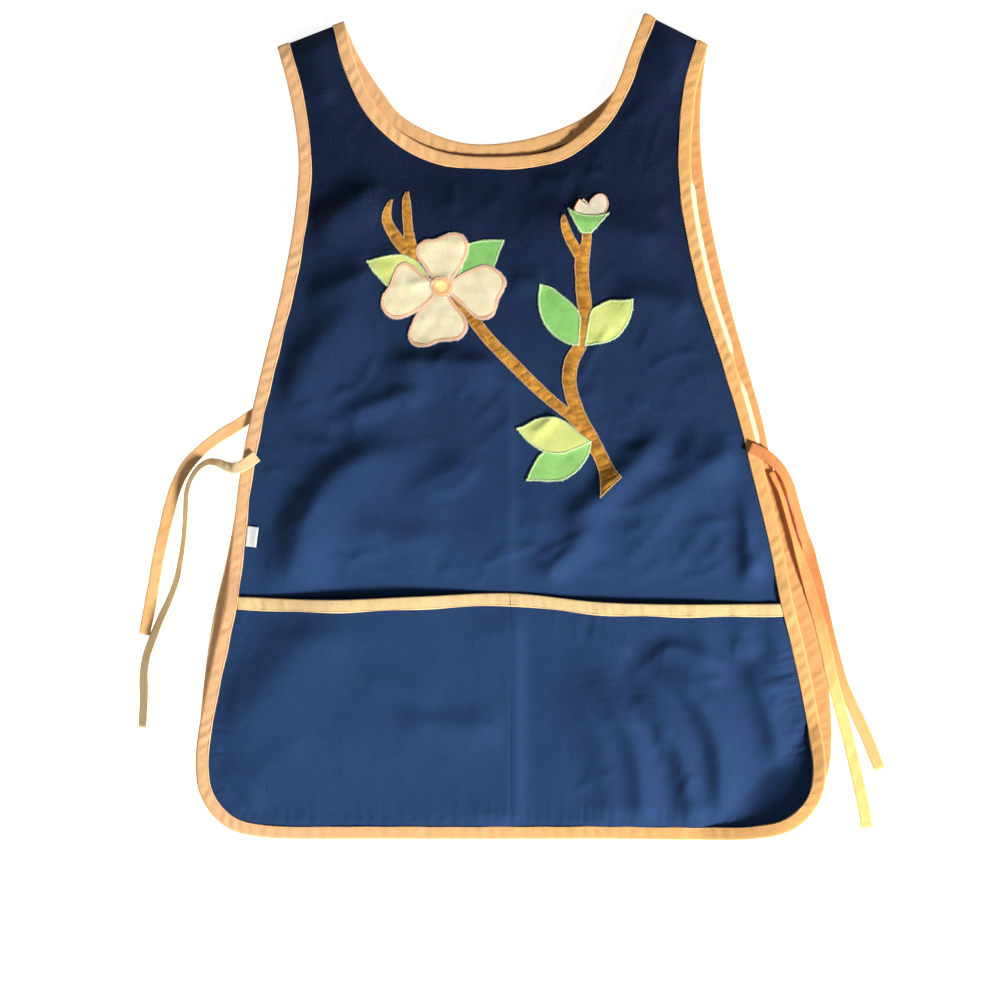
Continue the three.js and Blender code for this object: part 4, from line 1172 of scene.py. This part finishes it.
# Stems: places across, the dome of the strip, and the creases that its stitching pinches in
STEM_STEP = 0.9
STEM_SHARES = np.array([-1, -0.86, -0.5, 0, 0.5, 0.86, 1.0])
STEM_THICKNESS = 0.4
STEM_LIFT = 0.1
STEM_RISE = 0.8
STEM_SLANT = 1.2
CUT_RUN = 24.0
PINCH_DEPTH = 0.95
PINCH_WIDTH = 1.1
PINCH_SPACING = 7.0
PINCH_SPREAD = (0.6, 1.5)
PINCH_SHARES = (0.3, 1.0)
PINCH_COUNT = 200


def stem_edges(name):
    """The two edges of a stem, with a slanting foot where it has one."""
    line = smooth_line(np.asarray(STEMS[name], float), STEM_STEP)
    middle, half = line[:, :2], line[:, 2:]
    side = left_normals(middle)
    if name in STEM_CUTS:
        short_of_end = (len(middle) - 1 - np.arange(len(middle)))[:, None] * STEM_STEP
        share = 1 - smoothstep(short_of_end, 0, CUT_RUN)
        side = unit(side * (1 - share) + np.array(STEM_CUTS[name]) * share)
    return middle + side * half, middle - side * half


def stem_outline(name):
    left, right = stem_edges(name)
    return np.vstack([left, right[::-1], left[:1]])


outlines = {name: patch_outline(patch, OUTLINE_STEP)[:-1] for name, patch in PATCHES.items()}
outlines.update({name: stem_outline(name)[:-1] for name in STEMS})


def within(places, names):
    """Which places lie within any of the named pieces."""
    found = np.zeros(len(places), bool)
    for name in names:
        found |= inside(places, outlines[name])
    return found


def above(layer):
    return [name for name, patch in PATCHES.items() if patch.layer > layer]


def lower_layer(places, layer):
    """The highest layer of applique below a layer, at each place."""
    level = np.zeros(len(places))
    for name, patch in PATCHES.items():
        if patch.layer < layer:
            level = np.where(inside(places, outlines[name]), np.maximum(level, patch.layer), level)
    return level


def satin(outline, layer, edge, hiding, seed):
    """Close zigzag threads laid over a closed edge, except within the pieces that hide it."""
    draw = np.random.default_rng(seed)
    line = respaced(outline, max(4, round(line_length(outline) / SATIN_PITCH)))
    outward = -left_normals(line)
    if signed_area(line) < 0:
        outward = -outward
    zigzag = np.where(np.arange(len(line)) % 2, SATIN_SLANT, -SATIN_SLANT)
    slant = zigzag[:, None] * unit(np.gradient(line, axis=0))
    seen = ~within(line, hiding)
    line, outward, slant = line[seen], outward[seen], slant[seen]
    jitter = draw.normal(0, SATIN_JITTER * (edge.inner + edge.outer), (len(line), 2))
    start = line - outward * (edge.inner + jitter[:, :1]) - slant
    end = line + outward * (edge.outer + jitter[:, 1:]) + slant
    plan = start[:, None] + (end - start)[:, None] * SATIN_SHARES[None, :, None]
    z = patch_base(*plan.reshape(-1, 2).T, layer).reshape(plan.shape[:2])
    z = z + SATIN_RISE + edge.rise + draw.uniform(0, SATIN_SCATTER, (len(line), 1))
    if edge.outer > 0:
        foot = plan[:, -1]
        z[:, -1] = patch_base(*foot.T, lower_layer(foot, layer)) + SATIN_FOOT
    return threads(np.dstack([plan, z]), SATIN_RADIUS)


def pinches(s, seed):
    """Depth of the tight creases that stitching draws across a stem."""
    draw = np.random.default_rng(seed)
    lines = np.cumsum(draw.uniform(*PINCH_SPREAD, PINCH_COUNT) * PINCH_SPACING)
    depth = draw.uniform(*PINCH_SHARES, PINCH_COUNT)
    near = lines[None, :] - s[:, None]
    return PINCH_DEPTH * (depth * np.exp(-((near / PINCH_WIDTH) ** 2))).sum(1)


def stem_body(name, seed):
    """A raised strip, creased across by its stitching."""
    left, right = stem_edges(name)
    share = (STEM_SHARES + 1) / 2
    places = left[:, None] * (1 - share)[None, :, None] + right[:, None] * share[None, :, None]
    rows, columns = places.shape[:2]
    flat = places.reshape(-1, 2)
    s = np.repeat(np.arange(rows) * STEM_STEP, columns)
    slant = s + STEM_SLANT * np.tile(STEM_SHARES, rows)
    dome = np.tile(1 - STEM_SHARES**4, rows)
    rise = (STEM_RISE - pinches(slant, seed)) * dome
    z = patch_base(*flat.T, 0) + np.where(within(flat, PATCHES), 0.0, STEM_LIFT + rise)
    return shell(np.column_stack([flat, z]), grid_cells(rows, columns)[:, ::-1], STEM_THICKNESS)


# Ties and label

# Section of a tie, then its ripples: share or height, wavelength, and slant across the tape
TIE_STEP = 3.0
TIE_SHARES = np.array([-1, -0.97, -0.8, -0.45, 0, 0.45, 0.8, 0.97, 1.0])
TIE_CROWN = np.array([0.35, 0.8, 0.92, 0.8, 0.78, 0.8, 1.0, 0.85, 0.35]) * TIE_THICKNESS / 2
TIE_NARROWING = 0.03
NARROWING_LENGTH = 40.0
TIE_RIPPLE = 0.18
TIE_RIPPLE_LENGTH = 16.0
TIE_SLANT = 4.0


def tie_stations(rows):
    """Places along a tie, with the directions across it and out of its face."""
    line = smooth_line(rows, TIE_STEP)
    origin = line[:, :3]
    along = unit(np.gradient(origin, axis=0))
    flat = unit(np.cross(UP, along))
    turn = np.radians(line[:, 3:])
    inward = flat * np.cos(turn) + np.cross(along, flat) * np.sin(turn)
    return Stations(origin, inward, np.cross(along, inward))


def tie_body(stations, seed):
    """Folded tape with a rounded fold and a stitched edge, a little rippled along its length."""
    sections = []
    for at in np.arange(len(stations.origin)) * TIE_STEP:
        half = TIE_WIDTH / 2 * (1 + TIE_NARROWING * wander(at, NARROWING_LENGTH, seed))
        ripple = wander(at + TIE_SLANT * TIE_SHARES, TIE_RIPPLE_LENGTH, seed + 1)
        middle = TIE_RIPPLE * ripple * (1 - TIE_SHARES**2)
        top = np.column_stack([TIE_SHARES * half, middle + TIE_CROWN])
        bottom = np.column_stack([TIE_SHARES * half, middle - TIE_CROWN])
        sections.append(np.vstack([top[::-1], bottom]))
    return sweep(stations, np.array(sections))


def label_body():
    """A small tab that leaves the binding and curls up towards its free edge."""
    line = smooth_line(LABEL_RUN, LABEL_STEP)
    side = left_normals(line) * LABEL_HALF
    share = np.linspace(-1, 1, LABEL_PLACES)
    places = line[:, None] + side[:, None] * share[None, :, None]
    rows, columns = places.shape[:2]
    flat = places.reshape(-1, 2)
    curl = np.repeat(smoothstep(np.arange(rows), LABEL_FLAT, rows - 1), columns)
    wave = LABEL_WAVE * wander(flat[:, 1], LABEL_WAVELENGTH, LABEL_SEED)
    z = front_height(*flat.T) + LABEL_LIFT + (LABEL_CURL + wave) * curl
    return shell(np.column_stack([flat, z]), grid_cells(rows, columns)[:, ::-1], LABEL_THICKNESS)


# Materials

BLACK = (0, 0, 0, 1)
WHITE = (1, 1, 1, 1)
SHEEN_ROUGHNESS = 0.45

# Radians that a wave texture turns in one metre at a scale of one
WAVE_RATE = 20

# Sizes of what varies in a cloth or thread, the values between which its shade changes, and its shares
MOTTLE_DETAIL = 4.0
MOTTLE_STOPS = (0.32, 0.68)
FADE_STOPS = (0.2, 1.0)
FADE_MOTTLE = 0.4
SLUB_SIZE = 1.6
SLUB_STRETCH = 0.22
SLUB_STOPS = (0.72, 1.28)
SLUB_BUMP = 1.6
FLECK_SIZE = 1.3
FLECK_STOPS = (0.58, 0.74)
FLECK_SHARE = 0.35
STRAND_SIZE = 1.3
STRAND_STOPS = (0.3, 0.7)
FIBRE_SIZE = 0.25


def srgb(r, g, b):
    """Linear colour from 0-255 screen values."""
    def channel(v):
        v = v / 255
        return v / 12.92 if v <= 0.04045 else ((v + 0.055) / 1.055) ** 2.4
    return (channel(r), channel(g), channel(b), 1.0)


class Shader:
    """A material's nodes, made and linked in short lines."""

    def __init__(self, name):
        self.material = bpy.data.materials.new(name)
        self.material.use_nodes = True
        self.tree = self.material.node_tree
        self.surface = self.tree.nodes["Principled BSDF"]
        self.place = self.add("ShaderNodeTexCoord").outputs["Object"]

    def feed(self, node, values):
        """Gives each socket its constant, or links an output to it."""
        for key, value in values.items():
            if isinstance(value, bpy.types.NodeSocket):
                self.tree.links.new(value, node.inputs[key])
            else:
                node.inputs[key].default_value = value

    def add(self, kind, values=None, **settings):
        node = self.tree.nodes.new(kind)
        for key, value in settings.items():
            setattr(node, key, value)
        self.feed(node, values or {})
        return node

    def noise(self, size, detail=3.0, stretch=(1, 1, 1)):
        """Noise whose features are about size millimetres wide."""
        mapping = self.add("ShaderNodeMapping", {"Vector": self.place, "Scale": stretch})
        values = {"Vector": mapping.outputs["Vector"], "Scale": 1 / (size * MM), "Detail": detail}
        return self.add("ShaderNodeTexNoise", values).outputs["Fac"]

    def across(self, axis, start, end):
        """Share of the way between two places on an axis, in metres."""
        split = self.add("ShaderNodeSeparateXYZ", {"Vector": self.place})
        values = {"Value": split.outputs[axis], "From Min": start, "From Max": end}
        return self.add("ShaderNodeMapRange", values).outputs["Result"]

    def weave(self, pitch):
        """Crossed threads at a pitch in millimetres."""
        scale = 2 * math.pi / (WAVE_RATE * pitch * MM)
        values = {"Vector": self.place, "Scale": scale, "Distortion": 1.2, "Detail": 1.0, "Detail Scale": 0.6}
        bands = [self.add("ShaderNodeTexWave", values, bands_direction=way).outputs["Fac"] for way in "XY"]
        return self.math("ADD", *bands)

    def math(self, operation, a, b):
        return self.add("ShaderNodeMath", {0: a, 1: b}, operation=operation).outputs[0]

    def ramp(self, value, low, high, dark, light):
        """Colour between two shades as a value goes from low to high."""
        node = self.add("ShaderNodeValToRGB", {"Fac": value})
        stops = node.color_ramp.elements
        stops[0].position, stops[1].position = low, high
        stops[0].color, stops[1].color = dark, light
        return node.outputs["Color"]

    def mix(self, kind, share, a, b):
        node = self.add("ShaderNodeMix", {0: share, 6: a, 7: b}, data_type="RGBA", blend_type=kind)
        return node.outputs[2]

    def finish(self, colour, height, depth, gloss, sheen, tint, shine=WHITE):
        """Sets the surface from its colour, bump, gloss and sheen."""
        bump = self.add("ShaderNodeBump", {"Height": height, "Strength": 1.0, "Distance": depth * MM})
        roughness, specular = gloss
        self.feed(self.surface, {
            "Base Color": colour, "Normal": bump.outputs["Normal"],
            "Roughness": roughness, "Specular IOR Level": specular, "Specular Tint": shine,
            "Sheen Weight": sheen, "Sheen Roughness": SHEEN_ROUGHNESS, "Sheen Tint": tint,
        })
        return self.material


def cloth_material(
        name, dark, light, fleck, mottle, pitch=0.5, depth=0.08, sheen=0.05, grain=0.04,
        gloss=(0.86, 0.25), shine=WHITE, fade=None, wear_and_highlight=None):
    """Woven cloth: a mottled or graded shade with slubs both ways, fine flecks and a thread bump; where
    asked, a paler fold that is part wear, part painted highlight.
    """
    shader = Shader(name)
    patches = shader.noise(mottle, MOTTLE_DETAIL)
    if fade:
        patches = shader.math("ADD", shader.across(*fade), shader.math("MULTIPLY", patches, FADE_MOTTLE))
    stops = FADE_STOPS if fade else MOTTLE_STOPS
    shade = shader.ramp(patches, *stops, srgb(*dark), srgb(*light))
    ways = ((1, SLUB_STRETCH, 1), (SLUB_STRETCH, 1, 1))
    slub = shader.math("ADD", *[shader.noise(SLUB_SIZE, stretch=way) for way in ways])
    low, high = 1 - grain, 1 + grain
    threads_shade = shader.ramp(slub, *SLUB_STOPS, (low, low, low, 1), (high, high, high, 1))
    colour = shader.mix("MULTIPLY", 1.0, shade, threads_shade)
    specks = shader.ramp(shader.noise(FLECK_SIZE, 2.0), *FLECK_STOPS, BLACK, WHITE)
    colour = shader.mix("MIX", shader.math("MULTIPLY", specks, FLECK_SHARE), colour, srgb(*fleck))
    # Paler colour over a tape's standing fold: part wear, part painted highlight where the fold faces the
    # light
    if wear_and_highlight:
        wear_and_highlight_share = shader.add("ShaderNodeAttribute", attribute_name="wear_and_highlight_share")
        colour = shader.mix("MIX", wear_and_highlight_share.outputs["Fac"], colour, srgb(*wear_and_highlight))
    height = shader.math("ADD", shader.weave(pitch), shader.math("MULTIPLY", slub, SLUB_BUMP))
    return shader.finish(colour, height, depth, gloss, sheen, srgb(*light), shine)


def thread_material(name, dark, light):
    """Spun thread: shade varies from strand to strand, with a soft gloss."""
    shader = Shader(name)
    colour = shader.ramp(shader.noise(STRAND_SIZE, 2.0), *STRAND_STOPS, srgb(*dark), srgb(*light))
    fibres = shader.noise(FIBRE_SIZE, 2.0)
    return shader.finish(colour, fibres, depth=0.08, gloss=(0.6, 0.25), sheen=0.1, tint=srgb(*light))


# Cloths have a dark, a light and a fleck shade and the size of their mottling, and threads two shades
materials = {
    # The navy grows darker towards the top: painted shade where the light falls off
    "navy": cloth_material(
        "navy_cloth", (18, 27, 49), (37, 60, 97), (52, 75, 114), 45, pitch=0.55, depth=0.06, sheen=0.0,
        grain=0.08, gloss=(0.68, 0.16), shine=(0.3, 0.5, 1.0, 1.0), fade=("Y", 0.2, -0.22)),
    # The front's tape is paler over its standing fold at the right armhole: part wear, part painted highlight
    "binding": cloth_material(
        "peach_binding", (236, 184, 134), (230, 174, 106), (250, 206, 152), 30,
        fade=("X", -0.26, 0.26), wear_and_highlight=(250, 226, 184)),
    # The back's tape is lighter towards the left: painted light that lifts the shadow the front's tape casts
    # on it there
    "back_binding": cloth_material(
        "orange_binding", (250, 208, 158), (228, 164, 102), (250, 206, 150), 30, fade=("X", -0.24, 0.2)),
    "pocket_binding": cloth_material("pale_binding", (234, 194, 142), (238, 214, 152), (248, 226, 172), 120),
    "tie": cloth_material("peach_tie", (240, 180, 116), (246, 202, 138), (254, 230, 180), 30),
    # A lighter copy of the tie tape's colour: painted light for a twisted tie whose face lies in shade
    "tie_painted_lighter": cloth_material("peach_tie_painted_lighter", (254, 210, 148), (255, 226, 176), (255, 240, 204), 30),
    "tie_orange": cloth_material(
        "orange_tie", (222, 140, 80), (236, 194, 122), (246, 206, 142), 30, fade=("Y", -0.16, -0.3)),
    "tie_yellow": cloth_material(
        "yellow_tie", (224, 148, 86), (240, 216, 132), (250, 230, 160), 30, fade=("Y", -0.14, -0.29)),
    "label": cloth_material(
        "white_label", (228, 228, 224), (244, 244, 240), (255, 255, 255), 12,
        pitch=0.35, depth=0.05, sheen=0.1),
    "petal": cloth_material("cream_petal", (226, 212, 170), (234, 226, 190), (240, 232, 200), 14, sheen=0.06),
    "bud": cloth_material("pink_bud", (250, 228, 196), (253, 242, 214), (255, 250, 230), 9),
    "stamen": cloth_material("yellow_stamen", (250, 212, 128), (252, 232, 158), (255, 245, 190), 8),
    "leaf_green": cloth_material("green_leaf", (122, 184, 94), (146, 204, 114), (172, 216, 144), 14),
    "leaf_green_pale": cloth_material(
        "pale_green_leaf", (138, 198, 104), (160, 212, 124), (184, 224, 156), 14),
    "leaf_light": cloth_material("yellow_leaf", (196, 210, 112), (218, 222, 134), (228, 230, 172), 14),
    "stem": cloth_material("golden_stem", (152, 98, 28), (218, 154, 60), (226, 174, 98), 7, depth=0.1),
    "petal_thread": thread_material("salmon_thread", (250, 178, 132), (254, 206, 164)),
    "petal_fringe": thread_material("pale_pink_thread", (250, 212, 186), (254, 234, 216)),
    "leaf_thread": thread_material("pale_green_thread", (208, 240, 176), (236, 250, 208)),
    "stem_thread": thread_material("brown_thread", (214, 168, 112), (240, 206, 160)),
    "binding_thread": thread_material("peach_thread", (246, 204, 150), (252, 226, 184)),
    "navy_thread": thread_material("navy_thread", (8, 14, 28), (18, 30, 54)),
}


# Pieces

def add_for(node, name, body, material):
    """A piece that stands for a CAD node."""
    piece = add_piece(name, body, materials[material])
    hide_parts(node)
    return piece


def add_threads(name, runs, material):
    """A piece of many threads, which no CAD node stands for."""
    piece = add_piece(name, joined(runs), materials[material])


front_piece = add_for("front_panel", "cloth_front", front_cloth(), "navy")
back_piece = add_for("back_panel", "cloth_back", back_cloth(), "navy")
pocket_piece = add_for("pocket_panel", "cloth_pocket", pocket_cloth(), "navy")

# Bindings, and the shades, overlaps of the upper face and standing folds of those that differ
bindings = {
    "edge_binding_front": front_edge_binding(),
    "neck_binding_front": front_neck_binding(),
    "edge_binding_back": back_binding(back.outer, outer_ends),
    "neck_binding_back": back_binding(back.neck, neck_ends),
    "pocket_binding": pocket_mouth_binding(),
}
BINDING_SHADES = {"edge_binding_back": "back_binding", "pocket_binding": "pocket_binding"}
BINDING_OVERLAPS = {"edge_binding_back": 3.6, "neck_binding_back": 2.4}
BINDING_LIPS = {"edge_binding_front": ARMHOLE_LIPS}
STITCH_PITCH = 2.7
STITCH_INSET = 0.8
STITCH_LIFT = 0.14
seams = []
for number, (node, (stations, slots)) in enumerate(bindings.items()):
    overlap = BINDING_OVERLAPS.get(node, 0.0)
    lips = BINDING_LIPS.get(node, [])
    body = binding_body(stations, slots, overlap, lips, BINDING_SEED + 5 * number)
    piece = add_for(node, "tape_" + node, body, BINDING_SHADES.get(node, "binding"))
    # Share of the paler colour over the standing fold, part wear and part painted highlight
    if lips:
        wear_and_highlight_share = piece.data.attributes.new("wear_and_highlight_share", "FLOAT", "POINT")
        wear_and_highlight_share.data.foreach_set("value", fold_wear_and_highlight(stations, lips))
    seams.append(seam(stitch_line(stations, slots, STITCH_INSET - overlap), STITCH_PITCH, STITCH_LIFT))
add_threads("binding_stitches", seams, "binding_thread")

# The seam that parts the pocket in two, over the mouth's tape and down the cloth
DIVIDE_PITCH = 2.4
DIVIDE_LIFT = 0.16
DIVIDE_RUN = (-163, -361)
TAPE_START = 0.4
TAPE_CLEARANCE = 0.45
divide_y = np.arange(*DIVIDE_RUN, -1.0)
divide_x = np.full(len(divide_y), CENTRE_STITCH)
divide_line = np.column_stack([divide_x, divide_y, pocket_height(divide_x, divide_y) + CLOTH / 2])
mouth, _ = bindings["pocket_binding"]
middle = np.abs(mouth.origin[:, 0] - CENTRE_STITCH).argmin()
over_tape = np.linspace(TAPE_START, BINDING_WIDTH, 12)[:, None]
tape_top = mouth.origin[middle] + mouth.up[middle] * (HALF_BOUND + TAPE_CLEARANCE)
tape_line = tape_top + mouth.inward[middle] * over_tape
divide_seams = [seam(line, DIVIDE_PITCH, DIVIDE_LIFT) for line in (tape_line, divide_line)]
add_threads("pocket_divide_stitches", divide_seams, "navy_thread")

# Applique pieces, and the threads over their edges
THREAD_SLOTS = {
    "petal_thread": "petal_cream", "petal_fringe": "petal_cream", "leaf_thread": "leaf_light",
    "stem_thread": "stem_brown",
}
satin_runs = {thread: [] for thread in THREAD_SLOTS}
for number, (node, patch) in enumerate(PATCHES.items()):
    body = patch_body(patch, PATCH_SEED + number)
    add_for(node, "patch_" + node, body, patch.cloth)
    outline = patch_outline(patch, FINE_STEP)
    for edge in EDGES[patch.edge]:
        run = satin(outline, patch.layer, edge, above(patch.layer), SATIN_SEED + number)
        satin_runs[edge.thread].append(run)
for number, node in enumerate(STEMS):
    add_for(node, "patch_" + node, stem_body(node, STEM_SEED + number), "stem")
    hiding = [*PATCHES, *[name for name in STEMS if name != node]]
    for edge in EDGES["stem"]:
        run = satin(stem_outline(node), 0, edge, hiding, STEM_SATIN_SEED + number)
        satin_runs[edge.thread].append(run)
for thread, runs in satin_runs.items():
    add_threads("satin_" + thread, runs, thread)

add_for("label", "woven_label", label_body(), "label")

# Ties, each swept along its route
# The front left tie takes the lighter copy of the tape's colour, painted light for its face in shade
TIE_SHADES = {
    "tie_front_left": "tie_painted_lighter", "tie_back_left": "tie", "tie_front_right": "tie_orange",
    "tie_back_right": "tie_yellow",
}
for number, (node, rows) in enumerate(TIE_ROUTES.items()):
    stations = tie_stations(rows)
    body = tie_body(stations, TIE_SEED + number)
    piece = add_for(node, "tape_" + node, body, TIE_SHADES[node])


# Floor, light and camera, in metres but for the millimetres of the floor's mottling

FLOOR_SIZE = 12
FLOOR_LEVEL = -0.0004
FLOOR_MOTTLE = 400
FLOOR_STOPS = (0.3, 0.7)
FLOOR_DARK = (0.9, 0.9, 0.9, 1)
FLOOR_LIGHT = (0.93, 0.93, 0.93, 1)
FLOOR_GLOW = 0.8
LIGHT_TARGET = (0.0, -0.05, 0.0)
WORLD_STRENGTH = 0.1
VIEW_CENTRE = (-0.0126, -0.0666)
VIEW_WIDTH = 0.9
VIEW_HEIGHT = 2.6
CLOTH_TOP = 0.008


def add_floor():
    bpy.ops.mesh.primitive_plane_add(size=FLOOR_SIZE, location=(0, 0, FLOOR_LEVEL))
    floor = bpy.context.object
    floor.name = "floor"
    shader = Shader("pale_floor")
    shade = shader.ramp(shader.noise(FLOOR_MOTTLE, 2.0), *FLOOR_STOPS, FLOOR_DARK, FLOOR_LIGHT)
    shader.feed(shader.surface, {
        "Base Color": shade, "Roughness": 0.9, "Emission Color": WHITE, "Emission Strength": FLOOR_GLOW,
    })
    floor.data.materials.append(shader.material)


def add_light(name, place, target, size, power):
    """A round lamp that faces a target."""
    data = bpy.data.lights.new(name, "AREA")
    data.shape = "DISK"
    data.size = size
    data.energy = power
    light = bpy.data.objects.new(name, data)
    light.location = place
    facing = Vector([a - b for a, b in zip(target, place)])
    light.rotation_euler = facing.to_track_quat("-Z", "Y").to_euler()
    bpy.context.scene.collection.objects.link(light)


def add_camera():
    """A camera straight above, whose view is as wide as set at the top of the cloth."""
    data = bpy.data.cameras.new("camera")
    data.sensor_width = 36.0
    data.lens = data.sensor_width * (VIEW_HEIGHT - CLOTH_TOP) / VIEW_WIDTH
    camera = bpy.data.objects.new("camera", data)
    camera.location = (*VIEW_CENTRE, VIEW_HEIGHT)
    bpy.context.scene.collection.objects.link(camera)
    bpy.context.scene.camera = camera


def add_world():
    world = bpy.data.worlds.new("studio")
    world.use_nodes = True
    background = world.node_tree.nodes["Background"]
    background.inputs["Color"].default_value = WHITE
    background.inputs["Strength"].default_value = WORLD_STRENGTH
    bpy.context.scene.world = world


add_floor()
add_light("key", place=(3.95, -3.3, 2.9), target=LIGHT_TARGET, size=1.3, power=760)
add_light("fill", place=(-2.2, -1.0, 1.2), target=LIGHT_TARGET, size=1.2, power=14)
add_camera()
add_world()
bpy.context.scene.view_settings.view_transform = "Standard"
